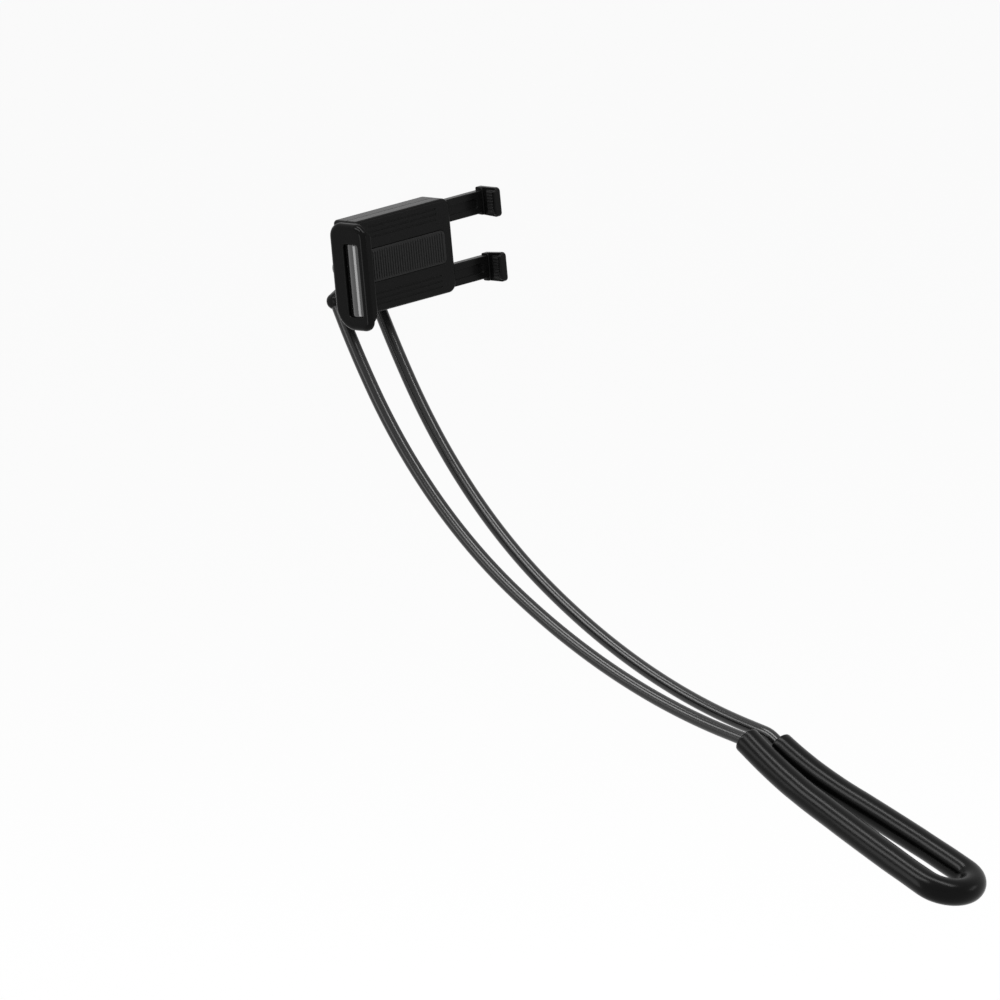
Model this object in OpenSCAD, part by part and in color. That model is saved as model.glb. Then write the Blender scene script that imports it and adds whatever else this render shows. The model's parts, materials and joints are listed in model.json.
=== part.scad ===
// Neck-worn holder for a phone or small tablet: a padded loop, two gooseneck arms, a ball joint
// and a spring-loaded clamp. Millimetres, +Z up, +X along the clamp's slide, the device faces -Y.
// The origin is inside the grip's loop, halfway between its legs, on the arms' plane of symmetry.

/* [Gooseneck] */
// Outer diameter of the rubber-covered gooseneck
tube_d = 11.4; // [10.5:0.1:12]
// Diameter of the soft metal core wire
core_d = 6; // [4:0.5:6.5]
// Bend radius of the arms next to the grip
lower_bend_r = 651; // [640:1:660]
// Bend radius of the arms next to the clamp
upper_bend_r = 460; // [440:5:480]
// Bend radius of the short sections under the yoke
neck_bend_r = 800; // [760:10:840]
// Distance between the arms' centres at the yoke
arm_spacing = 43.2; // [42:0.2:46]

/* [Grip] */
// Outer diameter of the foam grip
foam_d = 23; // [21:0.5:24]
// Slope of the grip below horizontal, in degrees
grip_slope = 24; // [22:1:26]
// Distance between the leg centres at the loop's end
loop_w = 46; // [42:1:50]
// Straight run of the legs from the origin to the loop's end bend
loop_run = 141; // [130:1:150]
// Distance along the grip from the origin to its left mouth
foam_left = 91; // [88:1:96]
// Distance along the grip from the origin to its right mouth
foam_right = 76; // [71:1:80]

/* [Ball joint] */
// Diameter of the ball
ball_d = 17; // [16:0.5:17]
// Diameter of the neck behind the ball
stud_d = 7; // [6:0.5:7]
// Outer diameter of the knurled lock ring
ring_d = 35; // [34:1:38]

/* [Clamp] */
// Opening between the jaw pads as drawn
opening = 150; // [145:1:152]
// Smallest opening between the jaw pads
opening_min = 110; // [110:1:115]
// Largest opening between the jaw pads
opening_max = 185; // [170:1:185]
// Height of the clamp body
body_h = 80; // [78:1:82]
// Depth of the clamp body, front to back
body_depth = 27; // [26:1:28]
// Depth of the slot that the device's edge sits in
slot_depth = 8.5; // [8:0.5:10]
// Height of each hook
hook_h = 23.5; // [22:0.5:25]

/* [Hidden] */
$fn = 64;

tube_r = tube_d / 2;
core_r = core_d / 2;
bore_r = core_r + 0.1;
foam_r = foam_d / 2;
loop_r = loop_w / 2;

// Path of the arms in the plane of symmetry, as states [y, z, slope] at the ends of its arcs
function arc_end(a, r, turn) =
    let (chord = 2 * r * sin(abs(turn) / 2), dir = a[2] + turn / 2)
    [a[0] + chord * cos(dir), a[1] + chord * sin(dir), a[2] + turn];
function straight_end(a, length) = [a[0] + length * cos(a[2]), a[1] + length * sin(a[2]), a[2]];
grip_bend_r = 401;
grip_turn = 12;
mouth_bend_r = 25;
mouth_turn = -23.4;
straight_len = 20;
origin_state = [0, 0, grip_slope];
mouth_state = arc_end(origin_state, grip_bend_r, grip_turn);
mouth_end = arc_end(mouth_state, mouth_bend_r, mouth_turn);
grip_knuckle = straight_end(mouth_end, straight_len);
middle_knuckle = arc_end(grip_knuckle, lower_bend_r, 22.4);
neck_knuckle = arc_end(middle_knuckle, upper_bend_r, 27);
arm_top = arc_end(neck_knuckle, neck_bend_r, 6);
grip_len = grip_bend_r * grip_turn * PI / 180;
bend_len = grip_len + mouth_bend_r * abs(mouth_turn) * PI / 180;
knuckle_len = bend_len + straight_len;

// Half the spacing of the two arms at the ends of the arcs
spread_mouth = 12.4;
spread_grip = 12.8;
spread_middle = 17.3;
spread_neck = 21.3;
spread_top = arm_spacing / 2;

// Knuckles: a ball on the lower section runs in a cup in the upper one
cup_gap = 0.1;
cup_open = 3.2;
core_stop = 7;

// Yoke frame: y up along the arms, z towards the clamp, origin on the stud's axis.
// A stem joins the hub to a crossbar, and each arm enters one end of the crossbar from below.
hub_rise = 23.5;
ball_reach = 24;
hub_r = 10;
bar_y = -18;
bar_r = 8.2;
leg_r = 8.3;
leg_y = -24.5;
leg_end = -31;
// Layers of each half as [inset, height], which round its outer edges
yoke_layers = [[0, 4.5], [1, 6.5], [3, 8]];
ferrule_r = 6.5;
ferrule_flange_r = 7.1;
ferrule_top = -21.9;
flange_r = 6.5;
flange_half = 1.5;
run_gap = 0.08;
hub = [arm_top[0] + hub_rise * cos(arm_top[2]), arm_top[1] + hub_rise * sin(arm_top[2])];
ball = [hub[0] - ball_reach * sin(arm_top[2]), hub[1] + ball_reach * cos(arm_top[2])];
yoke_screw_spots = [[0, -11], [10.5, -20.5], [-10.5, -20.5]];
yoke_screw_len = 11;
yoke_screw_seat = -5.5;

// Ball joint
ball_r = ball_d / 2;
seat_gap = 0.05;
liner_r = ball_r + 2;
seat_r = liner_r + seat_gap;
mouth_half_angle = 60;
boss_r = 13.4;
ring_r = ring_d / 2;
ring_front = -12;
ring_rear = 6.5;
ring_step = 0.2;
lip_y = 5;
grooves = 20;

// Clamp frame: x = 0 on the ball's axis, y = 0 at the device's screen, z = 0 at mid height
ball_in_clamp = [0, 62, -6];
half_h = body_h / 2;
wall = 2.2;
jaw_in = -54;
jaw_wall = 6;
pad_t = 1.5;
body_right = 56.5;
body_front = slot_depth + 1.5;
body_back = body_front + body_depth;
split_y = 22;
body_round = 8;
lip_t = 3;
jaw_front = -lip_t - 0.5;
jaw_back = body_back + 0.5;
jaw_low = -52;
jaw_high = 39;
lip_w = 4.5;
hook_in = jaw_in + pad_t + opening + pad_t;
hook_wall = 5;
root_t = 1.9;
rail_low = 18;
rail_high = half_h - 2.8;
rail_front = 13;
rail_back = 20;
rail_gap = 0.4;
rail_start = -4;
bar_x = 7;
bar_w = 4.2;
spring_z = 9;
spring_y = (rail_front + rail_back) / 2;
spring_x = -45;
spring_r = 3;
screw_r = 1.5;
head_r = 2.8;
head_t = 2;
post_r = 3.6;
cover_screw_spots = [[-48, 30], [-48, -30], [50.5, 10], [50.5, -10], [-38, 0]];
cover_screw_tip = 14;
cover_screw_seat = body_back - 3;
jaw_screw_spots = [[29.5, 22], [29.5, -22]];
slide_in = opening_min - opening;
slide_out = opening_max - opening;
echo(slide_range = [slide_in, slide_out], ball = ball, hub = hub, arm_top = arm_top);
echo(knuckles = [grip_knuckle, middle_knuckle, neck_knuckle]);

// General shapes

module mirrored(side) {
    mirror([side < 0 ? 1 : 0, 0, 0]) children();
}

// Two circles joined by straight sides that run a hair inside their outer tangents
side_inset = 0.04;
module link2d(a, ra, b, rb) {
    d = b - a;
    dir = atan2(d[1], d[0]);
    lean = acos((ra - rb) / norm(d));
    function rim(c, r, angle) = c + (r - side_inset) * [cos(angle), sin(angle)];
    translate(a) circle(ra);
    translate(b) circle(rb);
    polygon([
        rim(a, ra, dir + lean), rim(a, ra, dir - lean),
        rim(b, rb, dir - lean), rim(b, rb, dir + lean)
    ]);
}

// Rectangle with its own radius at each corner, from low left anticlockwise
module round_rect(x0, x1, y0, y1, r) {
    polygon([
        [x0 + r[0], y0], [x1 - r[1], y0], [x1, y0 + r[1]], [x1, y1 - r[2]],
        [x1 - r[2], y1], [x0 + r[3], y1], [x0, y1 - r[3]], [x0, y0 + r[0]]
    ]);
    translate([x0 + r[0], y0 + r[0]]) circle(r[0]);
    translate([x1 - r[1], y0 + r[1]]) circle(r[1]);
    translate([x1 - r[2], y1 - r[2]]) circle(r[2]);
    translate([x0 + r[3], y1 - r[3]]) circle(r[3]);
}

// Cylinder along +Y from y0 to y1
module along_y(r, y0, y1) {
    translate([0, y0, 0]) rotate([-90, 0, 0]) cylinder(r = r, h = y1 - y0);
}

// Slab with an outline in x and z, from y0 to y1
module slab_y(y0, y1) {
    translate([0, y1, 0]) rotate([90, 0, 0]) linear_extrude(y1 - y0) children();
}

// Slab with an outline in y and z, from x0 to x1
module slab_x(x0, x1) {
    translate([x0, 0, 0]) rotate([90, 0, 90]) linear_extrude(x1 - x0) children();
}

// Pan-head screw along +Z with its tip at the origin end of the shank
module screw(length) {
    cylinder(r = screw_r, h = length);
    translate([0, 0, length]) cylinder(r = head_r, h = head_t);
}

// Gooseneck sections

// Moves children to the start of an arc from state a to state b, with +Y along its tangent
// and its centre on the -X side, where x grows from xa to xb
module arc_frame(a, b, xa, xb) {
    turn = b[2] - a[2];
    flat = norm([b[0] - a[0], b[1] - a[1]]);
    translate([xa, a[0], a[1]])
        rotate([a[2] + turn / 2, 0, 0])
        rotate([0, 90, 0])
        rotate([atan2(xb - xa, flat), 0, 0])
        rotate([0, 0, -turn / 2])
        children();
}

function arc_radius(a, b, xa, xb) =
    norm([b[0] - a[0], b[1] - a[1], xb - xa]) / (2 * sin((b[2] - a[2]) / 2));

// The 2D children swept along the arc, less the lengths skip and stop at its two ends
module arc_sweep(a, b, xa, xb, skip, stop) {
    r = arc_radius(a, b, xa, xb);
    per_mm = 180 / (PI * r);
    arc_frame(a, b, xa, xb)
        translate([-r, 0, 0])
        rotate([0, 0, skip * per_mm])
        rotate_extrude(angle = b[2] - a[2] - (skip + stop) * per_mm)
        translate([r, 0])
        children();
}

// Ball that ends a section, bored along +Y, with a skirt that reaches back into the tube's wall
module knuckle_ball() {
    rotate([-90, 0, 0]) rotate_extrude() intersection() {
        circle(tube_r - 0.02);
        translate([bore_r + 0.2, -1]) square(2 * tube_r);
    }
}

// Ball at the end of the arc
module arc_ball(a, b, xa, xb) {
    r = arc_radius(a, b, xa, xb);
    arc_frame(a, b, xa, xb)
        translate([-r, 0, 0])
        rotate([0, 0, b[2] - a[2]])
        translate([r, 0, 0])
        knuckle_ball();
}

module tube_section(a, b, xa, xb, ball_end) {
    color([0.05, 0.05, 0.055]) difference() {
        union() {
            arc_sweep(a, b, xa, xb, cup_open, 0) difference() {
                circle(tube_r);
                circle(bore_r);
            }
            if (ball_end) arc_ball(a, b, xa, xb);
        }
        translate([xa, a[0], a[1]]) sphere(tube_r + cup_gap);
    }
}

module core_section(a, b, xa, xb, stop) {
    color([0.72, 0.73, 0.75]) arc_sweep(a, b, xa, xb, core_stop, stop) circle(core_r);
}

module lower_tube(side) {
    mirrored(side) tube_section(grip_knuckle, middle_knuckle, spread_grip, spread_middle, true);
}

module upper_tube(side) {
    mirrored(side) tube_section(middle_knuckle, neck_knuckle, spread_middle, spread_neck, true);
}

module neck_tube(side) {
    mirrored(side) tube_section(neck_knuckle, arm_top, spread_neck, spread_top, false);
}

module lower_core(side) {
    mirrored(side) core_section(grip_knuckle, middle_knuckle, spread_grip, spread_middle, core_stop);
}

module upper_core(side) {
    mirrored(side) core_section(middle_knuckle, neck_knuckle, spread_middle, spread_neck, core_stop);
}

module neck_core(side) {
    mirrored(side) core_section(neck_knuckle, arm_top, spread_neck, spread_top, 1);
}

// Loop and foam grip, swept along one path from the right leg to the left leg

// State at the length s from the origin, below it where s is negative
function grip_point(s) =
    s < 0 ? straight_end(origin_state, s) :
    s < grip_len ? arc_end(origin_state, grip_bend_r, grip_turn * s / grip_len) :
    s < bend_len ?
        arc_end(mouth_state, mouth_bend_r, mouth_turn * (s - grip_len) / (bend_len - grip_len)) :
    straight_end(mouth_end, s - bend_len);
function smooth(t) = t < 0 ? 0 : t > 1 ? 1 : t * t * (3 - 2 * t);
function spread(s) =
    spread_mouth + (loop_r - spread_mouth) * smooth((110 - s) / (110 + loop_run))
    + (spread_grip - spread_mouth) * smooth((s - grip_len) / (knuckle_len - grip_len));
function leg_point(side, s) = let (p = grip_point(s)) [side * spread(s), p[0], p[1]];
loop_centre = grip_point(-loop_run);
function loop_point(angle) = [
    loop_r * cos(angle),
    loop_centre[0] - loop_r * sin(angle) * cos(grip_slope),
    loop_centre[1] - loop_r * sin(angle) * sin(grip_slope)
];
// Stations on the legs from inside the foam's mouths down, and angles round the end bend
inner_stations = concat([for (s = [60:-20:0]) s], [for (i = [1:5]) -i * loop_run / 5]);
bend_step = 9;
function legs_and_loop() = concat(
    [for (s = inner_stations) leg_point(1, s)],
    [for (a = [bend_step:bend_step:180 - bend_step]) loop_point(a)],
    [for (i = [len(inner_stations) - 1:-1:0]) leg_point(-1, inner_stations[i])]
);
exposed_stations = [for (s = [bend_len:-5:grip_len]) s];
function tube_path(stop) = let (kept = concat([stop], exposed_stations)) concat(
    [for (s = kept) leg_point(1, s)],
    legs_and_loop(),
    [for (i = [len(kept) - 1:-1:0]) leg_point(-1, kept[i])]
);
foam_path = concat(
    [leg_point(1, foam_right)],
    legs_and_loop(),
    [for (s = [exposed_stations[len(exposed_stations) - 1], foam_left]) leg_point(-1, s)]
);

function unit(v) = v / norm(v);
function tangent(path, i) =
    unit(path[min(i + 1, len(path) - 1)] - path[max(i - 1, 0)]);
// Ring of points of radius r round point i of the path
function ring(path, i, r, sides) =
    let (
        t = tangent(path, i),
        u = unit(cross([0, -sin(grip_slope), cos(grip_slope)], t)),
        v = cross(u, t)
    )
    [for (k = [0:sides - 1]) path[i] + r * (cos(360 * k / sides) * u + sin(360 * k / sides) * v)];
function wall_faces(rings, sides, first, flip) = [
    for (i = [0:rings - 2], k = [0:sides - 1])
        let (
            a = first + i * sides + k,
            b = first + i * sides + (k + 1) % sides,
            quad = [a, b, b + sides, a + sides]
        )
        flip ? [quad[3], quad[2], quad[1], quad[0]] : quad
];

// Round bar along the path
module sweep_bar(path, r, sides) {
    n = len(path);
    points = [for (i = [0:n - 1]) each ring(path, i, r, sides)];
    start = [for (k = [sides - 1:-1:0]) k];
    end = [for (k = [0:sides - 1]) (n - 1) * sides + k];
    polyhedron(points, concat([start], wall_faces(n, sides, 0, false), [end]), convexity = 6);
}

// Hollow tube along the path
module sweep_tube(path, r_out, r_in, sides) {
    n = len(path);
    inner = n * sides;
    points = concat(
        [for (i = [0:n - 1]) each ring(path, i, r_out, sides)],
        [for (i = [0:n - 1]) each ring(path, i, r_in, sides)]
    );
    last = (n - 1) * sides;
    caps = [for (k = [0:sides - 1]) let (m = (k + 1) % sides) each [
        [m, k, inner + k, inner + m],
        [last + k, last + m, inner + last + m, inner + last + k]
    ]];
    faces = concat(wall_faces(n, sides, 0, false), wall_faces(n, sides, inner, true), caps);
    polyhedron(points, faces, convexity = 8);
}

tube_sides = 12;
foam_sides = 16;

module loop_tube() {
    color([0.05, 0.05, 0.055]) {
        sweep_tube(tube_path(knuckle_len), tube_r - 0.1, bore_r / cos(180 / tube_sides), tube_sides);
        for (side = [-1, 1])
            translate([side * spread_grip, grip_knuckle[0], grip_knuckle[1]])
            rotate([grip_knuckle[2], 0, 0]) knuckle_ball();
    }
}

module loop_core() {
    color([0.72, 0.73, 0.75]) sweep_bar(tube_path(knuckle_len - core_stop), core_r, tube_sides);
}

module foam_grip() {
    color([0.03, 0.03, 0.032]) sweep_tube(foam_path, foam_r, tube_r + 0.35, foam_sides);
}

// Yoke, in the yoke frame

module yoke_frame() {
    translate([0, hub[0], hub[1]]) rotate([arm_top[2], 0, 0]) children();
}

// Rounded plan of the yoke drawn in by inset, cut off square where the arms enter
module yoke_plan(inset) {
    difference() {
        union() {
            link2d([0, 0], hub_r - inset, [0, bar_y], bar_r - inset);
            for (side = [-1, 1]) {
                link2d([0, bar_y], bar_r - inset, [side * spread_top, leg_y], leg_r - inset);
                link2d([side * spread_top, leg_y], leg_r - inset,
                    [side * spread_top, leg_end + 1], leg_r - 0.5 - inset);
            }
        }
        translate([-2 * arm_spacing, leg_end - 20 + inset]) square([4 * arm_spacing, 20]);
    }
}

// One half of the yoke's housing, from its joint plane outwards
module yoke_half_shell() {
    for (layer = yoke_layers) linear_extrude(layer[1]) yoke_plan(layer[0]);
}

module ferrule_seat(side, gap) {
    translate([side * spread_top, 0, 0]) {
        along_y(ferrule_r + gap, leg_end - 1, ferrule_top + gap);
        along_y(ferrule_flange_r + gap, leg_y - 1 - gap, leg_y + 1 + gap);
    }
}

module yoke_hollows() {
    for (side = [-1, 1]) ferrule_seat(side, 0.1);
    cylinder(r = stud_d / 2 + run_gap, h = 20);
    translate([0, 0, -flange_half - run_gap])
        cylinder(r = flange_r + run_gap, h = 2 * (flange_half + run_gap));
    for (spot = yoke_screw_spots) translate([spot[0], spot[1], yoke_screw_seat]) {
        cylinder(r = screw_r + 0.05, h = yoke_screw_len + 0.05);
        translate([0, 0, -5]) cylinder(r = head_r + 0.1, h = 5.05);
    }
}

module yoke_front() {
    color([0.06, 0.06, 0.065]) yoke_frame() difference() {
        yoke_half_shell();
        yoke_hollows();
    }
}

module yoke_rear() {
    color([0.06, 0.06, 0.065]) yoke_frame() difference() {
        mirror([0, 0, 1]) yoke_half_shell();
        yoke_hollows();
    }
}

module yoke_screws() {
    color([0.35, 0.36, 0.38]) yoke_frame() for (spot = yoke_screw_spots)
        translate([spot[0], spot[1], yoke_screw_seat + yoke_screw_len])
            rotate([180, 0, 0]) screw(yoke_screw_len);
}

module ferrule(side) {
    color([0.6, 0.61, 0.63]) yoke_frame() difference() {
        ferrule_seat(side, 0);
        translate([side * spread_top, 0, 0])
            along_y(tube_r + 0.12, leg_end - 2, -hub_rise + 0.1);
    }
}

module ball_stud() {
    color([0.55, 0.56, 0.58]) yoke_frame() {
        translate([0, 0, ball_reach]) sphere(ball_r);
        translate([0, 0, -flange_half]) cylinder(r = stud_d / 2, h = ball_reach);
        translate([0, 0, -flange_half]) cylinder(r = flange_r, h = 2 * flange_half);
    }
}

// Ball socket, with y = 0 at the ball's centre and +Y towards the yoke

module socket_frame() {
    translate([0, ball[0], ball[1]]) children();
}

// Turns a profile of radius and depth about the socket's axis
module turned() {
    rotate([-90, 0, 0]) rotate_extrude() children();
}

module socket_liner() {
    color([0.75, 0.75, 0.72]) socket_frame() difference() {
        turned() difference() {
            intersection() {
                circle(liner_r);
                polygon([[0, 0], [20, 20 / tan(mouth_half_angle)], [20, -20], [0, -20]]);
            }
            circle(ball_r + seat_gap);
        }
        for (a = [0:60:120]) rotate([0, a, 0]) translate([-0.6, -2, -12]) cube([1.2, 12, 24]);
    }
}

module lock_ring() {
    color([0.05, 0.05, 0.055]) socket_frame() difference() {
        turned() difference() {
            polygon([
                [boss_r + 0.1, ring_front], [ring_r - 1, ring_front], [ring_r, ring_front + 1],
                [ring_r, ring_rear - 2], [ring_r - 2, ring_rear],
                [ring_rear * tan(mouth_half_angle), ring_rear],
                [lip_y * tan(mouth_half_angle), lip_y],
                [lip_y * tan(mouth_half_angle), ring_step], [boss_r + 0.1, ring_step]
            ]);
            circle(seat_r);
        }
        for (i = [0:grooves - 1]) rotate([0, i * 360 / grooves, 0])
            translate([ring_r + 0.6, 0, 0]) along_y(1.3, ring_front - 1, ring_rear + 1);
    }
}

// Clamp, in the clamp frame

module clamp_frame() {
    translate([0, ball[0] - ball_in_clamp[1], ball[1] - ball_in_clamp[2]]) children();
}

module body_outline(inset) {
    r = body_round - inset;
    round_rect(jaw_in + inset, body_right - inset, -half_h + inset, half_h - inset, [3, r, r, 3]);
}

module at_cover_screws() {
    for (spot = cover_screw_spots) translate([spot[0], 0, spot[1]]) children();
}

module clamp_front_shell() {
    color([0.06, 0.06, 0.065]) clamp_frame() difference() {
        union() {
            slab_y(body_front, body_front + 1.5) body_outline(1.5);
            difference() {
                slab_y(body_front + 1.5, split_y) body_outline(0);
                slab_y(body_front + wall, split_y + 1) body_outline(wall);
            }
            at_cover_screws() along_y(post_r, body_front + 1, split_y);
            for (z = [-spring_z, spring_z]) translate([spring_x, 0, z])
                along_y(3.4, body_front + 1, rail_front);
        }
        slab_y(body_front - 1, body_front + 1)
            round_rect(-43.2, 47.2, -14.2, 14.2, [4, 4, 4, 4]);
        at_cover_screws() along_y(screw_r + 0.05, cover_screw_tip - 0.5, split_y + 1);
        for (z = [rail_low - rail_gap, -rail_high - rail_gap])
            translate([body_right - body_round, rail_front - rail_gap, z]) cube([
                2 * body_round, rail_back - rail_front + 2 * rail_gap,
                rail_high - rail_low + 2 * rail_gap
            ]);
        for (z = [-spring_z, spring_z]) translate([spring_x, 0, z])
            along_y(1.1, rail_front - 2, rail_front + 1);
    }
}

module clamp_rear_cover() {
    color([0.06, 0.06, 0.065]) clamp_frame() difference() {
        union() {
            difference() {
                union() {
                    slab_y(split_y, body_back - 2) body_outline(0);
                    slab_y(body_back - 2, body_back) body_outline(2);
                }
                slab_y(split_y - 1, body_back - wall) body_outline(wall);
            }
            at_cover_screws() along_y(post_r, split_y, body_back - 1);
            translate([0, 0, ball_in_clamp[2]]) {
                along_y(boss_r + 4, body_back - 3, body_back + 4);
                along_y(boss_r, body_back - 3, ball_in_clamp[1]);
            }
        }
        translate(ball_in_clamp) sphere(seat_r);
        at_cover_screws() {
            along_y(screw_r + 0.1, split_y - 1, body_back + 1);
            along_y(head_r + 0.1, cover_screw_seat, body_back + 1);
        }
        for (spot = jaw_screw_spots) translate([jaw_in - 1, spot[0], spot[1]])
            rotate([0, 90, 0]) cylinder(r = screw_r + 0.1, h = 5);
    }
}

module cover_screws() {
    color([0.35, 0.36, 0.38]) clamp_frame() at_cover_screws() translate([0, cover_screw_tip, 0])
        rotate([-90, 0, 0]) screw(cover_screw_seat - cover_screw_tip);
}

module rest_pad() {
    color([0.1, 0.1, 0.105]) clamp_frame() {
        slab_y(slot_depth, body_front + 1) round_rect(-43, 47, -14, 14, [4, 4, 4, 4]);
    }
}

module jaw_outline(inset) {
    round_rect(jaw_front + inset, jaw_back - inset, jaw_low + inset, jaw_high - inset,
        [10 - inset, 20 - inset, 12 - inset, 11 - inset]);
}

trim_mid = [12.5, -9];
trim_w = 17;
trim_h = 62;

module fixed_jaw() {
    color([0.04, 0.04, 0.045]) clamp_frame() difference() {
        union() {
            slab_x(jaw_in - jaw_wall + 1.5, jaw_in) jaw_outline(0);
            slab_x(jaw_in - jaw_wall, jaw_in - jaw_wall + 1.5) jaw_outline(1.5);
            slab_x(jaw_in - 1, jaw_in + lip_w) intersection() {
                jaw_outline(0);
                translate([jaw_front, jaw_low]) square([lip_t, jaw_high - jaw_low]);
            }
        }
        slab_x(jaw_in - jaw_wall - 1, jaw_in - jaw_wall + 3.5)
            translate(trim_mid)
            round_rect(-trim_w / 2, trim_w / 2, -trim_h / 2, trim_h / 2, [3, 3, 3, 3]);
        for (spot = jaw_screw_spots) translate([jaw_in - 4, spot[0], spot[1]])
            rotate([0, 90, 0]) cylinder(r = screw_r + 0.05, h = 10);
        slab_x(jaw_in - 0.5, jaw_in + 1) round_rect(0, slot_depth + 1, -37.2, 30.2, [2, 2, 2, 2]);
    }
}

module jaw_screws() {
    color([0.35, 0.36, 0.38]) clamp_frame() for (spot = jaw_screw_spots)
        translate([jaw_in - 3.8, spot[0], spot[1]]) rotate([0, 90, 0]) screw(6.2);
}

// Half-round glossy bar in the jaw's recess
module jaw_trim() {
    color([0.16, 0.16, 0.17]) clamp_frame() intersection() {
        slab_x(jaw_in - jaw_wall - 1, jaw_in - jaw_wall + 3.4)
            translate(trim_mid)
            round_rect(-trim_w / 2 + 0.2, trim_w / 2 - 0.2, -trim_h / 2 + 0.2, trim_h / 2 - 0.2,
                [3, 3, 3, 3]);
        translate([jaw_in - jaw_wall + 12, trim_mid[0], trim_mid[1] - trim_h])
            cylinder(r = 11.5, h = 2 * trim_h);
    }
}

module jaw_pad() {
    color([0.1, 0.1, 0.105]) clamp_frame() {
        slab_x(jaw_in - 0.4, jaw_in + pad_t - 0.6) round_rect(0.2, slot_depth, -37, 30, [2, 2, 2, 2]);
        for (z = [-33:6:27]) slab_x(jaw_in + pad_t - 1, jaw_in + pad_t)
            translate([1, z - 1.5]) square([slot_depth - 2, 3]);
    }
}

module spring_pins() {
    color([0.6, 0.61, 0.63]) clamp_frame() for (z = [-spring_z, spring_z])
        translate([spring_x, 0, z]) along_y(1, rail_front - 1.8, rail_back + 1);
}

// Extension spring, drawn as the tube that its coils fill
module spring(side) {
    color([0.7, 0.71, 0.73]) clamp_frame()
        translate([spring_x + 1.2, spring_y, side * spring_z]) rotate([0, 90, 0]) difference() {
            cylinder(r = spring_r, h = bar_x - spring_x - 1.5);
            translate([0, 0, -1]) cylinder(r = spring_r - 0.8, h = bar_x - spring_x + 2);
        }
}

// Sliding carriage: two rails, the bar that joins them inside the body, and two hooks

module hook_outline() {
    r = 3;
    polygon([
        [jaw_front + r, half_h - hook_h - 1.5], [rail_back, half_h - hook_h],
        [rail_back, half_h], [jaw_front + r, half_h],
        [jaw_front, half_h - r], [jaw_front, half_h - hook_h - 1.5 + r]
    ]);
    translate([jaw_front + r, half_h - r]) circle(r);
    translate([jaw_front + r, half_h - hook_h - 1.5 + r]) circle(r);
}

module hook_side() {
    translate([rail_start, rail_front, rail_low])
        cube([hook_in - rail_start, rail_back - rail_front, rail_high - rail_low]);
    slab_x(hook_in - root_t, hook_in + hook_wall - 1.5) intersection() {
        hook_outline();
        translate([rail_front - 1.5, 0]) square([30, 60]);
    }
    slab_x(hook_in, hook_in + hook_wall - 1) hook_outline();
    slab_x(hook_in + hook_wall - 1.01, hook_in + hook_wall) translate([0.5, 0.6]) intersection() {
        hook_outline();
        translate([jaw_front + 0.6, half_h - hook_h - 0.5])
            square([rail_back - jaw_front - 2, hook_h - 0.8]);
    }
    slab_x(hook_in - 3, hook_in + 1) intersection() {
        hook_outline();
        translate([jaw_front, 0]) square([lip_t, 60]);
    }
}

module carriage() {
    color([0.05, 0.05, 0.055]) clamp_frame() {
        hook_side();
        mirror([0, 0, 1]) hook_side();
        translate([bar_x, rail_front, -rail_low - 1])
            cube([bar_w, rail_back - rail_front, 2 * rail_low + 2]);
    }
}

module hook_pad(side) {
    color([0.1, 0.1, 0.105]) clamp_frame() mirror([0, 0, side < 0 ? 1 : 0])
        slab_x(hook_in - pad_t, hook_in)
        round_rect(0.2, slot_depth - 0.5, half_h - hook_h + 1.5, half_h - 2, [1.5, 1.5, 1.5, 1.5]);
}

foam_grip();
loop_tube();
loop_core();
lower_tube(-1);  // lower_tube_left
lower_tube(1);  // lower_tube_right
lower_core(-1);  // lower_core_left
lower_core(1);  // lower_core_right
upper_tube(-1);  // upper_tube_left
upper_tube(1);  // upper_tube_right
upper_core(-1);  // upper_core_left
upper_core(1);  // upper_core_right
neck_tube(-1);  // neck_tube_left
neck_tube(1);  // neck_tube_right
neck_core(-1);  // neck_core_left
neck_core(1);  // neck_core_right
ferrule(-1);  // ferrule_left
ferrule(1);  // ferrule_right
yoke_front();
yoke_rear();
yoke_screws();
ball_stud();
socket_liner();
lock_ring();
clamp_front_shell();
clamp_rear_cover();
cover_screws();
rest_pad();
fixed_jaw();
jaw_screws();
jaw_trim();
jaw_pad();
spring_pins();
spring(1);  // spring_upper
spring(-1);  // spring_lower
carriage();
hook_pad(1);  // hook_pad_upper
hook_pad(-1);  // hook_pad_lower
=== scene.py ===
# %% [markdown]
# # A neck-worn phone holder
# The holder is a padded loop for the neck, two bendable gooseneck arms, a ball joint and a spring clamp.
# The imported model gives every solid piece its place and size. This lesson gives the pieces their looks:
# moulded shells with rounded edges, rubber-covered goosenecks along smooth curves, and a foam sleeve.

# %% Load the frame
import json
import math

import bmesh
import bpy
import numpy as np
from mathutils import Matrix, Vector


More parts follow.
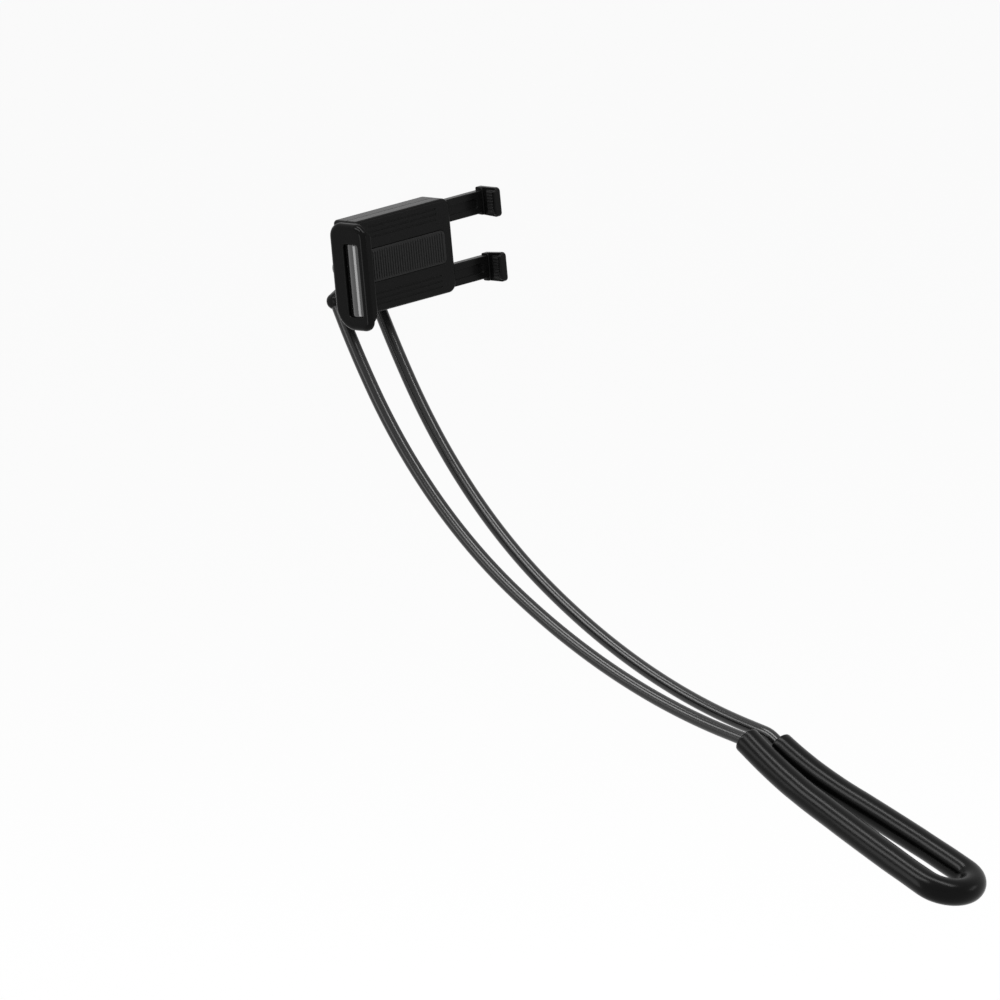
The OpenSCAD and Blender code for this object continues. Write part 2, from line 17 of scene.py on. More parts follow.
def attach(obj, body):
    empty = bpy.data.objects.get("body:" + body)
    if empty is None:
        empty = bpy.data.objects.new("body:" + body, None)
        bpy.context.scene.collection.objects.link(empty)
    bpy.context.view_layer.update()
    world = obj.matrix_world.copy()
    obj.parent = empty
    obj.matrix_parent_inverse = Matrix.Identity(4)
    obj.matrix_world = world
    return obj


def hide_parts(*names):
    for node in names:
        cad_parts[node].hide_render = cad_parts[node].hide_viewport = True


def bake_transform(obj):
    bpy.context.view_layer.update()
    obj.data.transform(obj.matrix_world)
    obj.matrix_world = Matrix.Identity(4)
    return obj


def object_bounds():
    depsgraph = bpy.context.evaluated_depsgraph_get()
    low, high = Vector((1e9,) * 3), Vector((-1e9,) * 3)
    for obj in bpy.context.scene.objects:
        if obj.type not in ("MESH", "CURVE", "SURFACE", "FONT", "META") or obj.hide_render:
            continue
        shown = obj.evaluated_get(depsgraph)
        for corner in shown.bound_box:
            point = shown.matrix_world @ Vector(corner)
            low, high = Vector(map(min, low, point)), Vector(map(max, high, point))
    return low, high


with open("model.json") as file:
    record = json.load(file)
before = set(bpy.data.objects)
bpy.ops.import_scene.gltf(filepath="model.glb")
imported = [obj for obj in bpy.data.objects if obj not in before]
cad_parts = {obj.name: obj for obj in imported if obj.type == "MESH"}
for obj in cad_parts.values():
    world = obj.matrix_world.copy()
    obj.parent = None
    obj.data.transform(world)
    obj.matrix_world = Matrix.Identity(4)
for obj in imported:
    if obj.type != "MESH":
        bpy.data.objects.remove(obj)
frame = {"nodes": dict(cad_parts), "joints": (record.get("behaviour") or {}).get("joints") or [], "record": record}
cad_low, cad_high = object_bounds()
MM = 0.001
joints = {joint["name"]: joint for joint in frame["joints"]}

# %% [markdown]
# The clamp and the yoke each have a frame of their own, in which their shapes are simple. They could be
# drawn in place, but then every number would carry the tilt of the yoke. The joints say where the frames
# are: the ball's centre carries the clamp, and the stud's axis carries the yoke. The sizes of the pieces
# are in millimetres, and those of the stage, with its camera and its lamps, are in metres.

# %% Frames of the clamp and the yoke
REACH = 24.0
BALL_IN_CLAMP = np.array([0, 62.0, -6.0])
BALL = np.array(joints["ball_spin"]["pos_m"]) / MM
STUD_AXIS = np.array(joints["ball_spin"]["axis"])
CLAMP_ORIGIN = BALL - BALL_IN_CLAMP
YOKE_ORIGIN = BALL + REACH * STUD_AXIS
ACROSS = np.array([1.0, 0, 0])


def moved(place, origin, x_axis=(1, 0, 0), z_axis=(0, 0, 1)):
    """A placing: a function that turns points so that their x and z run along two directions, moves them
    to an origin, and hands them to the placing of the larger part."""
    x_axis, z_axis = np.asarray(x_axis, float), np.asarray(z_axis, float)
    basis = np.array([x_axis, np.cross(z_axis, x_axis), z_axis])
    return lambda points: place(np.asarray(points, float) @ basis + np.asarray(origin, float))


# The clamp's x runs along its slide, and the device lies on its -y side. The socket's y runs towards the
# yoke. The yoke's x runs across, its y up along the arms and its z along the stud towards the clamp.
in_clamp = moved(np.asarray, CLAMP_ORIGIN)
in_socket = moved(np.asarray, BALL)
in_yoke = moved(np.asarray, YOKE_ORIGIN, ACROSS, -STUD_AXIS)
print("clamp frame at", CLAMP_ORIGIN.round(1), "yoke frame at", YOKE_ORIGIN.round(1))

# %% [markdown]
# Almost every piece here is a closed skin: rings of points, joined by four-sided faces, and closed at
# both ends. Primitives with modifiers could give some of these shapes, but rings that come from a formula
# give all of them. The sign of the enclosed volume tells whether the faces point outwards.

# %% Meshes
SHARP_ANGLE = math.radians(38)


def unit(vectors):
    """The vectors divided by their lengths."""
    return vectors / np.linalg.norm(vectors, axis=-1, keepdims=True)


def fan(face):
    """Triangles of one face with any number of corners, as a fan from its first corner."""
    face = np.asarray(face)
    return np.stack([np.full(len(face) - 2, face[0]), face[1:-1], face[2:]], 1)


def enclosed_volume(points, quads, caps):
    """Sum of a . (b x c) / 6 over all triangles, which is positive where the faces look out."""
    triangles = np.concatenate([quads[:, [0, 1, 2]], quads[:, [0, 2, 3]], *map(fan, caps)])
    a, b, c = points[triangles.T]
    return float(np.einsum("ij,ij->", a, np.cross(b, c))) / 6


def link_mesh(name, mesh):
    """An object for the mesh, smooth but for its sharp edges."""
    mesh.polygons.foreach_set("use_smooth", np.ones(len(mesh.polygons), bool))
    mesh.set_sharp_from_angle(angle=SHARP_ANGLE)
    mesh.update()
    piece = bpy.data.objects.new(name, mesh)
    bpy.context.scene.collection.objects.link(piece)
    return piece


print("a four-sided face has", len(fan(range(4))), "triangles")

# %% Skins made of rings


def ring_faces(rows, columns, ends="flat"):
    """Four-sided faces between neighbouring rings, and the end faces. A flat end is closed by one face,
    and a loop joins its last ring to its first."""
    i = np.arange(rows if ends == "loop" else rows - 1)[:, None]
    k = np.arange(columns)[None, :]
    after, beside = (i + 1) % rows, (k + 1) % columns
    here, there = i * columns, after * columns
    quads = np.stack([here + k, there + k, there + beside, here + beside], -1).reshape(-1, 4)
    last = (rows - 1) * columns
    caps = [] if ends == "loop" else [np.arange(columns), np.arange(last + columns - 1, last - 1, -1)]
    return quads, caps


def skin(name, rings, place=np.asarray, ends="flat"):
    """A closed skin over an array of rings with the shape (rings, points on each, 3), in millimetres.
    Where its volume comes out negative, the faces are turned round."""
    rings = np.asarray(rings, float)
    points = place(rings.reshape(-1, 3))
    quads, caps = ring_faces(rings.shape[0], rings.shape[1], ends)
    if enclosed_volume(points - points.mean(0), quads, caps) < 0:
        quads, caps = quads[:, ::-1], [cap[::-1] for cap in caps]
    mesh = bpy.data.meshes.new(name)
    mesh.from_pydata((points * MM).tolist(), [], quads.tolist() + [cap.tolist() for cap in caps])
    return link_mesh(name, mesh)


print("4 rings of 5 points are joined by", len(ring_faces(4, 5)[0]), "faces")

# %% [markdown]
# Moulded parts start from a flat outline with rounded corners. A Bevel modifier could round a polygon
# too, but here its corners are replaced by arcs, because then every point knows its outward normal.

# %% Outlines


def rounded_polygon(corners, radii, steps=10):
    """Anticlockwise outline: each corner becomes an arc that touches both sides, bulging or hollow.
    Returns the points and their outward normals."""
    corners = np.asarray(corners, float)
    into = unit(corners - np.roll(corners, 1, 0))
    out = np.roll(into, -1, 0)
    cross = into[:, 0] * out[:, 1] - into[:, 1] * out[:, 0]
    turn = np.arctan2(cross, (into * out).sum(1))
    radii = np.broadcast_to(np.asarray(radii, float), turn.shape)
    side = np.sign(turn)
    right = np.stack([into[:, 1], -into[:, 0]], 1)
    start = corners - into * (radii * np.tan(np.abs(turn) / 2))[:, None]
    centres = start - right * (radii * side)[:, None]
    t = np.linspace(0, 1, steps + 1)[None, :]
    angle = np.arctan2(right[:, 1], right[:, 0])[:, None] + turn[:, None] * t
    normals = np.stack([np.cos(angle), np.sin(angle)], -1)
    points = centres[:, None] + normals * (radii * side)[:, None, None]
    return points.reshape(-1, 2), normals.reshape(-1, 2)


def box_outline(x0, x1, y0, y1, radii, steps=10):
    """Rounded rectangle, with the radii from the low left corner anticlockwise."""
    return rounded_polygon([[x0, y0], [x1, y0], [x1, y1], [x0, y1]], radii, steps)


def centred_outline(middle, size, radius, steps=8):
    """Rounded rectangle round a middle point."""
    (x, y), (w, h) = middle, size
    return box_outline(x - w / 2, x + w / 2, y - h / 2, y + h / 2, radius, steps)


print("a rounded box has", len(box_outline(0, 2, 0, 1, 0.2)[0]), "points")

# %% [markdown]
# A slab is an outline with a depth and rounded edges. The rounded edge is the outline drawn in along its
# normals while the depth follows a quarter circle, so it stays even round tight corners, where a bevel
# might fold. A support row just inside each edge keeps the shading of the flat faces flat.

# %% Slabs
EDGE_SUPPORT = 0.35


def quarter(steps=6):
    """Angles of a quarter turn, for rounded edges."""
    return np.linspace(0, math.pi / 2, steps + 1)


def edge_rows(depth0, depth1, round0, round1, support=EDGE_SUPPORT):
    """Rows (inset, depth) over a slab's wall: quarter circles at both edges and a support row inside."""
    a = quarter()
    near = np.stack([round0 * (1 - np.sin(a)), depth0 + round0 * (1 - np.cos(a))], 1)
    far = np.stack([round1 * (1 - np.cos(a)), depth1 - round1 * (1 - np.sin(a))], 1)
    return np.concatenate([[[round0 + support, depth0]], near, far, [[round1 + support, depth1]]])


def slab_rings(outline, rows, order):
    """Rings of a slab: the outline drawn in by each row's inset, at the row's depth.
    Order says which axes the outline's first, the outline's second and the depth run along."""
    points, normals = outline
    flat = points[None] - normals[None] * rows[:, 0][:, None, None]
    depth = np.broadcast_to(rows[:, 1][:, None, None], flat.shape[:2] + (1,))
    rings = np.empty(flat.shape[:2] + (3,))
    rings[..., list(order)] = np.concatenate([flat, depth], -1)
    return rings


FACING_Y, FACING_X, FACING_Z = (0, 2, 1), (1, 2, 0), (0, 1, 2)


def slab(name, outline, depths, rounds, order, place=in_clamp, support=EDGE_SUPPORT):
    """A slab between two depths with the two edges rounded."""
    return skin(name, slab_rings(outline, edge_rows(*depths, *rounds, support), order), place)


print("a slab's wall has", len(edge_rows(0, 1, 0.2, 0.2)), "rows")

# %% [markdown]
# Bosses, rings, studs and screws are turned: a profile of radii and heights goes round an axis, as the
# Screw modifier would carry it. Here the radius may also change on the way round, which later gives the
# lock ring its grooves.

# %% Turned parts


def turned(name, stops, place, axis=1, sides=96, shape=None, ends="flat"):
    """A profile of (radius, height) stops turned about an axis. shape(radius, angle) may change the
    radius round the turn, for grooves."""
    stops = np.asarray(stops, float)
    angle = np.linspace(0, 2 * math.pi, sides, endpoint=False)[None, :]
    radius, height = stops[:, :1], np.broadcast_to(stops[:, 1:], (len(stops), sides))
    radius = np.broadcast_to(radius, height.shape) if shape is None else shape(radius, angle)
    rings = np.empty(height.shape + (3,))
    first, second = [k for k in range(3) if k != axis]
    rings[..., first], rings[..., second] = radius * np.cos(angle), radius * np.sin(angle)
    rings[..., axis] = height
    return skin(name, rings, place, ends)


def arc(centre, radius, start, end, steps=8):
    """Points (radius, height) on an arc of a profile, with angles in degrees."""
    a = np.radians(np.linspace(start, end, steps + 1))
    return np.stack([centre[0] + radius * np.cos(a), centre[1] + radius * np.sin(a)], 1)


def profile(*stretches):
    """A profile joined from single points and arcs."""
    return np.concatenate([np.atleast_2d(np.asarray(stretch, float)) for stretch in stretches])


print("a quarter circle has", len(arc((0, 0), 1, 0, 90)), "points")

# %% [markdown]
# Pockets, holes and windows are cut by Boolean modifiers that are carried out at once. They could also be
# modelled into the faces, but a cutter is one more skin, which is easy to move and to size.

# %% Cutting, fusing and joining


def baked(piece):
    """The piece with its modifiers carried out in its mesh."""
    evaluated = piece.evaluated_get(bpy.context.evaluated_depsgraph_get())
    mesh = bpy.data.meshes.new_from_object(evaluated)
    mesh.name = piece.name
    piece.modifiers.clear()
    piece.data = mesh
    return piece


def combined(piece, operation, others):
    """Carries out one exact Boolean with each of the other closed meshes, which it removes. The wide
    flat faces then set the shading, so that no cut throws a shade over them."""
    for other in others:
        modifier = piece.modifiers.new(operation.lower(), "BOOLEAN")
        modifier.object, modifier.solver, modifier.operation = other, "EXACT", operation
    baked(piece).data.set_sharp_from_angle(angle=SHARP_ANGLE)
    for other in others:
        bpy.data.objects.remove(other)
    modifier = piece.modifiers.new("flat_faces", "WEIGHTED_NORMAL")
    modifier.keep_sharp = True
    return baked(piece)


def cut(piece, *cutters):
    """The piece with closed cutters taken out of it."""
    return combined(piece, "DIFFERENCE", cutters)


def fuse(piece, *others):
    """The piece grown together with other closed meshes."""
    return combined(piece, "UNION", others)


def join(name, *parts):
    """One mesh piece from several closed skins that belong to the same moulding."""
    together = bmesh.new()
    for part in parts:
        together.from_mesh(part.data)
        bpy.data.objects.remove(part)
    mesh = bpy.data.meshes.new(name)
    together.to_mesh(mesh)
    together.free()
    return link_mesh(name, mesh)


print("a joined profile has", len(profile([(0, 0)], arc((0, 0), 1, 0, 90))), "points")

# %% [markdown]
# The camera stands far off with a long lens, so the view is almost without perspective, as in a
# catalogue picture. It looks from the left and a little from above, and is rolled by a few degrees. An
# orthographic camera would do as well.

# %% Camera
VIEW_TURN, VIEW_RISE, VIEW_ROLL = -43.8, 10.95, 5.3
VIEW_DISTANCE = 32.0
VIEW_WIDTH = 1000 / 1.2 * MM
AIM_POINT, AIM_RIGHT, AIM_UP = (20, 0, 0), 57.9, -205.75
SENSOR = 36.0


def stand(axes, point):
    """The matrix of an object that stands at a point, in metres, with its axes along three directions."""
    return Matrix.Translation(Vector(point)) @ Matrix(np.array(axes).T.tolist()).to_4x4()


def view_axes(turn, rise, roll):
    """Right, up and look directions of a camera turned about Z, raised, then rolled anticlockwise."""
    a, e, r = np.radians([turn, rise, roll])
    look = np.array([-math.sin(a) * math.cos(e), math.cos(a) * math.cos(e), -math.sin(e)])
    right = np.array([math.cos(a), math.sin(a), 0])
    up = np.cross(right, look)
    return right * math.cos(r) - up * math.sin(r), right * math.sin(r) + up * math.cos(r), look


RIGHT, UP, LOOK = view_axes(VIEW_TURN, VIEW_RISE, VIEW_ROLL)
aim = (in_clamp(AIM_POINT) + AIM_RIGHT * RIGHT + AIM_UP * UP) * MM
camera = bpy.data.objects.new("camera", bpy.data.cameras.new("camera"))
camera.data.sensor_width = SENSOR
camera.data.lens = SENSOR * VIEW_DISTANCE / VIEW_WIDTH
camera.data.clip_end = 200
camera.matrix_world = stand([RIGHT, UP, -LOOK], aim - LOOK * VIEW_DISTANCE)
bpy.context.scene.collection.objects.link(camera)
bpy.context.scene.camera = camera
print("camera aims at", aim.round(4))

# %% [markdown]
# The stage is a wide pale floor in a pale world. Both could be lit until they are white, but then they
# would flood the object with light. So rays from the camera, from a reflection or through something clear
# see them mostly as plain white, and all other rays see them dimmer. The floor keeps a soft shadow.

# %% Node helpers
bpy.context.scene.view_settings.view_transform = "Standard"


def new_material(name):
    """An empty node material with its output, ready for a shader."""
    material = bpy.data.materials.new(name)
    material.use_nodes = True
    material.node_tree.nodes.clear()
    return material, material.node_tree, material.node_tree.nodes.new("ShaderNodeOutputMaterial")


def give(tree, value, socket):
    """Ties another node's socket to an input, or sets the input to a plain value."""
    if isinstance(value, bpy.types.NodeSocket):
        tree.links.new(value, socket)
    else:
        socket.default_value = value


def add_node(tree, kind, **values):
    """A node with some of its inputs or properties given by name, where _ stands for a blank."""
    node = tree.nodes.new(kind)
    for key, value in values.items():
        if key.replace("_", " ") in node.inputs:
            give(tree, value, node.inputs[key.replace("_", " ")])
        else:
            setattr(node, key, value)
    return node


def math_node(tree, operation, a, b, clamp=False):
    """The result of a math node whose two inputs are numbers or sockets."""
    node = add_node(tree, "ShaderNodeMath", operation=operation, use_clamp=clamp)
    give(tree, a, node.inputs[0])
    give(tree, b, node.inputs[1])
    return node.outputs[0]


def seen_rays(tree):
    """1 for rays from the camera, from a reflection or through something clear, and 0 for the rest."""
    path = add_node(tree, "ShaderNodeLightPath").outputs
    glossy = math_node(tree, "MAXIMUM", path["Is Camera Ray"], path["Is Glossy Ray"])
    return math_node(tree, "MAXIMUM", glossy, path["Is Transmission Ray"])


print("view transform:", bpy.context.scene.view_settings.view_transform)

# %% Floor
FLOOR_DROP, FLOOR_SIZE = 0.18, 120.0
FLOOR_SHADE, WHITE = (0.86, 0.86, 0.86, 1), (1, 1, 1, 1)
SEEN_WHITE, WORLD_LIGHT = 0.94, 0.22


def floor_material():
    """Diffuse white that rays which are seen get mixed with plain white, so that it stays pale."""
    material, tree, output = new_material("pale_floor")
    diffuse = add_node(tree, "ShaderNodeBsdfDiffuse", Color=FLOOR_SHADE)
    glow = add_node(tree, "ShaderNodeEmission", Color=WHITE, Strength=1.0)
    share = math_node(tree, "MULTIPLY", seen_rays(tree), SEEN_WHITE)
    mix = add_node(tree, "ShaderNodeMixShader", Fac=share)
    give(tree, diffuse.outputs[0], mix.inputs[1])
    give(tree, glow.outputs[0], mix.inputs[2])
    give(tree, mix.outputs[0], output.inputs[0])
    return material


half = FLOOR_SIZE / 2
floor_z = cad_low[2] - FLOOR_DROP
floor_mesh = bpy.data.meshes.new("floor")
floor_corners = [(x * half, y * half, floor_z) for x, y in ((-1, -1), (1, -1), (1, 1), (-1, 1))]
floor_mesh.from_pydata(floor_corners, [], [(0, 1, 2, 3)])
floor = bpy.data.objects.new("floor", floor_mesh)
floor.data.materials.append(floor_material())
bpy.context.scene.collection.objects.link(floor)
print("floor at", round(floor_z, 4))

# %% World
world = bpy.data.worlds.new("studio")
world.use_nodes = True
tree = world.node_tree
tree.nodes["Background"].inputs["Color"].default_value = WHITE
seen = seen_rays(tree)
strength = add_node(tree, "ShaderNodeMapRange", Value=seen, To_Min=WORLD_LIGHT, To_Max=SEEN_WHITE)
give(tree, strength.outputs["Result"], tree.nodes["Background"].inputs["Strength"])
bpy.context.scene.world = world
print("world lights with", WORLD_LIGHT, "and is seen as", SEEN_WHITE)

# %% [markdown]
# Black gloss shows mostly what it mirrors, so the lamps are wide rectangles that stand where a reflection
# is wanted. Small lamps would leave highlights thinner than a pixel on the thin arms. The strip overhead
# draws the bright line along the arms, the high lamp on the left their mid grey and the foam's sheen, the
# low one the stripe on the jaw's bar, and the right one the edges that face right.

# %% Lamps
OBJECT_CENTRE = np.array([0, 0.2, 0.2])


def softbox(name, direction, distance, size, power, along=(1, 0, 0)):
    """A rectangular lamp that looks at the middle of the object. Its direction, and the direction that
    its length runs along, are (right, up, towards the camera), so that its reflection can be placed in
    the picture."""
    in_world = np.array([RIGHT, UP, -LOOK])
    way = unit(np.array(direction) @ in_world)
    side = np.array(along) @ in_world
    side = unit(side - (side @ way) * way)
    lamp = bpy.data.lights.new(name, "AREA")
    lamp.shape = "RECTANGLE"
    lamp.size, lamp.size_y = size
    lamp.energy = power
    holder = bpy.data.objects.new(name, lamp)
    holder.matrix_world = stand([side, np.cross(way, side), way], OBJECT_CENTRE + way * distance)
    holder.visible_camera = False
    bpy.context.scene.collection.objects.link(holder)


softbox("top_strip", (0.05, 0.91, 0.41), 2.4, (3.4, 0.5), 75, (0.83, -0.24, 0.50))
softbox("left_high_light", (-0.66, 0.58, 0.48), 2.6, (2.2, 0.65), 42, (0.68, 0.10, 0.73))
softbox("left_low_light", (-0.90, -0.19, 0.38), 1.24, (0.42, 0.7), 3.2, (0.5, 0.0, 0.9))
softbox("right_light", (0.95, 0.15, 0.15), 2.6, (0.5, 1.1), 5)
print("lamps:", len(bpy.data.lights))

# %% [markdown]
# Black plastic, rubber and foam differ less in colour than in how they break up a reflection. Three
# shared effects carry that: a fine moulded grain, faint handling marks that make the gloss uneven, and
# a mottle that shifts the colour by a hair. Each is a node group that puts out plain values.

# %% Helpers of the effects


def effect_group(name, inputs, output):
    """An empty node group with float inputs {name: default} and one float output. Gives the group, its
    input sockets by name, the object's coordinates and a function that ties a socket to the output."""
    group = bpy.data.node_groups.new(name, "ShaderNodeTree")
    for label, default in inputs.items():
        socket = group.interface.new_socket(label, in_out="INPUT", socket_type="NodeSocketFloat")
        socket.default_value = default
    group.interface.new_socket(output, in_out="OUTPUT", socket_type="NodeSocketFloat")
    given, result = group.nodes.new("NodeGroupInput"), group.nodes.new("NodeGroupOutput")
    place = add_node(group, "ShaderNodeTexCoord").outputs["Object"]
    return group, given.outputs, place, lambda socket: group.links.new(socket, result.inputs[output])


def noise(tree, vector, scale, detail=2.0, roughness=0.5):
    """A noise texture on the given coordinates. Scale is a number or a socket, in turns a metre."""
    values = {"Vector": vector, "Scale": scale, "Detail": detail, "Roughness": roughness}
    return add_node(tree, "ShaderNodeTexNoise", **values).outputs["Fac"]


print("node groups so far:", len(bpy.data.node_groups))

# %% Shared effects


def make_grain_group():
    """Height of a fine moulded grain: small noise, with a slower noise that makes it come and go."""
    group, given, place, put_out = effect_group("moulded_grain", {"Scale": 2500.0}, "Height")
    fine = noise(group, place, given["Scale"], 3.0, 0.6)
    put_out(math_node(group, "MULTIPLY", fine, noise(group, place, 60.0)))
    return group


def make_marks_group():
    """A roughness that handling has marked: broad smudges, and thin scratches from a squeezed noise."""
    inputs = {"Base": 0.3, "Smudge": 0.1, "Scratch": 0.1}
    group, given, place, put_out = effect_group("handling_marks", inputs, "Roughness")
    broad = math_node(group, "SUBTRACT", noise(group, place, 22.0, 4.0, 0.6), 0.5)
    smudge = math_node(group, "MULTIPLY", broad, given["Smudge"])
    scale, turn = (40, 900, 40), (0.4, 0.2, 0.7)
    stretch = add_node(group, "ShaderNodeMapping", Vector=place, Scale=scale, Rotation=turn)
    thin = noise(group, stretch.outputs[0], 1.0, 3.0, 0.7)
    line = math_node(group, "SUBTRACT", thin, 0.66, clamp=True)
    strong = math_node(group, "MULTIPLY", line, 4.0)
    scratch = math_node(group, "MULTIPLY", strong, given["Scratch"])
    marked = math_node(group, "ADD", given["Base"], math_node(group, "ADD", smudge, scratch))
    put_out(math_node(group, "MAXIMUM", marked, 0.05))
    return group


def make_mottle_group():
    """A mask from 0 to 1 of slow patches with a little fine speckle, for small shifts of colour."""
    group, given, place, put_out = effect_group("mottle", {"Patch": 35.0, "Speckle": 900.0}, "Mask")
    patch = noise(group, place, given["Patch"], 3.0)
    speckle = noise(group, place, given["Speckle"], 1.0)
    put_out(math_node(group, "MULTIPLY", math_node(group, "ADD", patch, speckle), 0.5))
    return group


GRAIN, MARKS, MOTTLE = make_grain_group(), make_marks_group(), make_mottle_group()
print("effects:", [group.name for group in (GRAIN, MARKS, MOTTLE)])

# %% [markdown]
# Every finish is one function call: a dark and a light level of grey that the mottle mixes, a roughness
# that the handling marks vary, a grain whose height feeds a bump, and plain numbers for metal and for the
# strength of the mirror image. The black parts differ in these numbers alone.

# %% One finish
BUMP_HEIGHT = 0.0002


def finish(name, levels, roughness, marks=(0.06, 0.1), grain=(2500.0, 0.02), metallic=0.0, specular=0.5,
           warm=0.0):
    """A Principled material from two levels of grey, a little warm where asked. The marks are the
    strengths of smudges and scratches, and the grain is its scale and depth."""
    material, tree, output = new_material(name)
    shades = add_node(tree, "ShaderNodeMix", data_type="RGBA")
    mottle = add_node(tree, "ShaderNodeGroup", node_tree=MOTTLE)
    give(tree, mottle.outputs["Mask"], shades.inputs[0])
    for socket, level in zip(shades.inputs[6:8], levels):
        socket.default_value = (level * (1 + warm), level, level * (1 - warm), 1)
    smudge, scratch = marks
    uneven = {"Base": roughness, "Smudge": smudge, "Scratch": scratch}
    gloss = add_node(tree, "ShaderNodeGroup", node_tree=MARKS, **uneven).outputs["Roughness"]
    height = add_node(tree, "ShaderNodeGroup", node_tree=GRAIN, Scale=grain[0]).outputs["Height"]
    bump = add_node(tree, "ShaderNodeBump", Height=height, Strength=grain[1], Distance=BUMP_HEIGHT)
    shader = add_node(
        tree, "ShaderNodeBsdfPrincipled", Metallic=metallic, Specular_IOR_Level=specular,
        Base_Color=shades.outputs[2], Roughness=gloss, Normal=bump.outputs["Normal"],
    )
    give(tree, shader.outputs[0], output.inputs[0])
    return material


print("a full bump is", BUMP_HEIGHT / MM, "mm high")

# %% Finishes
SMOOTH = (1500.0, 0.01)
GLOSS_BLACK = finish("gloss_black", (0.0010, 0.0030), 0.15, (0.05, 0.04), SMOOTH, specular=0.07)
SATIN_BLACK = finish("satin_black", (0.0025, 0.0055), 0.27, (0.08, 0.06), (2200.0, 0.04), specular=0.06)
DARK_GLASSY = finish("dark_glassy", (0.0050, 0.0080), 0.12, (0.04, 0.04), SMOOTH, specular=1.0)
PAD_RUBBER = finish("pad_rubber", (0.006, 0.011), 0.55, (0.08, 0.05), (1800.0, 0.30), specular=0.14)
SHEATH_RUBBER = finish("sheath_rubber", (0.004, 0.007), 0.22, (0.04, 0.03), SMOOTH, specular=0.34)
FOAM_SKIN = finish("foam_skin", (0.0006, 0.0016), 0.24, (0.06, 0.02), (900.0, 0.01), specular=0.10)
CORE_METAL = finish("core_metal", (0.55, 0.68), 0.42, metallic=1.0)
SCREW_STEEL = finish("screw_steel", (0.22, 0.34), 0.34, metallic=1.0)
BRIGHT_STEEL = finish("bright_steel", (0.55, 0.66), 0.18, metallic=1.0)
LINER_PLASTIC = finish("liner_plastic", (0.58, 0.68), 0.45, warm=0.02)
print(len(bpy.data.materials), "materials")

# %% Dressing a piece


def dress(piece, material, body=None, stands_for=()):
    """Gives a piece its finish, its body and the solids that it stands for."""
    piece.data.materials.clear()
    piece.data.materials.append(material)
    if body:
        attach(piece, body)
    if stands_for:
        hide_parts(*stands_for)
    return piece


print("solids to dress:", len(frame["nodes"]))

# %% [markdown]
# Both arms follow one curve in the plane of symmetry: a straight slope through the foam, a gentle
# bend, the sharper bend at the foam's mouth, a short straight run, and three long arcs up to the yoke.
# A spline through hand-set points could draw this too, but arcs that meet with equal slopes stay round.
# The joints of the frame give the arcs' ends, so each arc's turn follows from its chord's direction.

# %% Centre line of the arms
GRIP_SLOPE, MOUTH_SLOPE = 24.0, 12.6
GRIP_ARC, MOUTH_ARC = (401.0, 12.0), (25.0, -23.4)
STRAIGHT = 20.0
NECK_RUN, NECK_TURN = 83.78, 6.0
KNUCKLES = [
    np.array(joints[name]["pos_m"][1:]) / MM for name in ("grip_bend", "middle_bend", "neck_bend")
]


def arc_to(start, slope, end):
    """Length and turn in degrees of the arc that leaves start at that slope and ends at end."""
    chord = end - start
    turn = 2 * (math.degrees(math.atan2(chord[1], chord[0])) - slope)
    radius = np.linalg.norm(chord) / (2 * math.sin(math.radians(turn) / 2))
    return radius * math.radians(turn), turn


lower = arc_to(KNUCKLES[0], MOUTH_SLOPE, KNUCKLES[1])
upper = arc_to(KNUCKLES[1], MOUTH_SLOPE + lower[1], KNUCKLES[2])
RUNS = [(radius * math.radians(abs(turn)), turn) for radius, turn in (GRIP_ARC, MOUTH_ARC)]
RUNS += [(STRAIGHT, 0.0), lower, upper, (NECK_RUN, NECK_TURN)]
RUN_ENDS = np.cumsum([0] + [run[0] for run in RUNS])


def centre_line(s):
    """Points (y, z) at the lengths s from the origin. The point of an arc is its start plus a chord,
    whose length is 2 R sin(turn / 2) and whose direction is slope + turn / 2."""
    s = np.asarray(s, float)
    slope = math.radians(GRIP_SLOPE)
    points = np.stack([s * math.cos(slope), s * math.sin(slope)], -1)
    place = np.zeros(2)
    for (length, turn), begin in zip(RUNS, RUN_ENDS):
        turn = math.radians(turn)
        along = np.clip(s - begin, 0, None if begin == RUN_ENDS[-2] else length)
        half_turn = turn * along / length / 2
        chord = along * np.sinc(half_turn / math.pi)
        way = slope + half_turn
        here = place + chord[..., None] * np.stack([np.cos(way), np.sin(way)], -1)
        points = np.where((s >= begin)[..., None], here, points)
        end_chord = length * np.sinc(turn / 2 / math.pi)
        place = place + end_chord * np.array([math.cos(slope + turn / 2), math.sin(slope + turn / 2)])
        slope += turn
    return points


for number, knuckle in enumerate(KNUCKLES):
    error = np.linalg.norm(centre_line(RUN_ENDS[3 + number]) - knuckle)
    print("knuckle", number, "is off by", round(float(error), 4), "mm")

# %% [markdown]
# Seen from the front the two arms lie close together at the grip and spread towards the yoke. Each arm
# could have a path of its own, but their distance from the plane of symmetry is enough: a cubic through
# the half-spacings at the knuckles and at the yoke.

# %% Spread of the arms
SPREADS = (12.8, 17.3, 21.3, 21.6)
SPREAD_MOUTH, LOOP_HALF = 12.4, 23.0
LOOP_RUN, LOOP_OPENS = 141.0, 110.0
spread_curve = np.polyfit(RUN_ENDS[3:], SPREADS, 3)


def ease(t):
    """0 below t = 0, 1 above t = 1, and a smooth step between."""
    t = np.clip(t, 0, 1)
    return t * t * (3 - 2 * t)


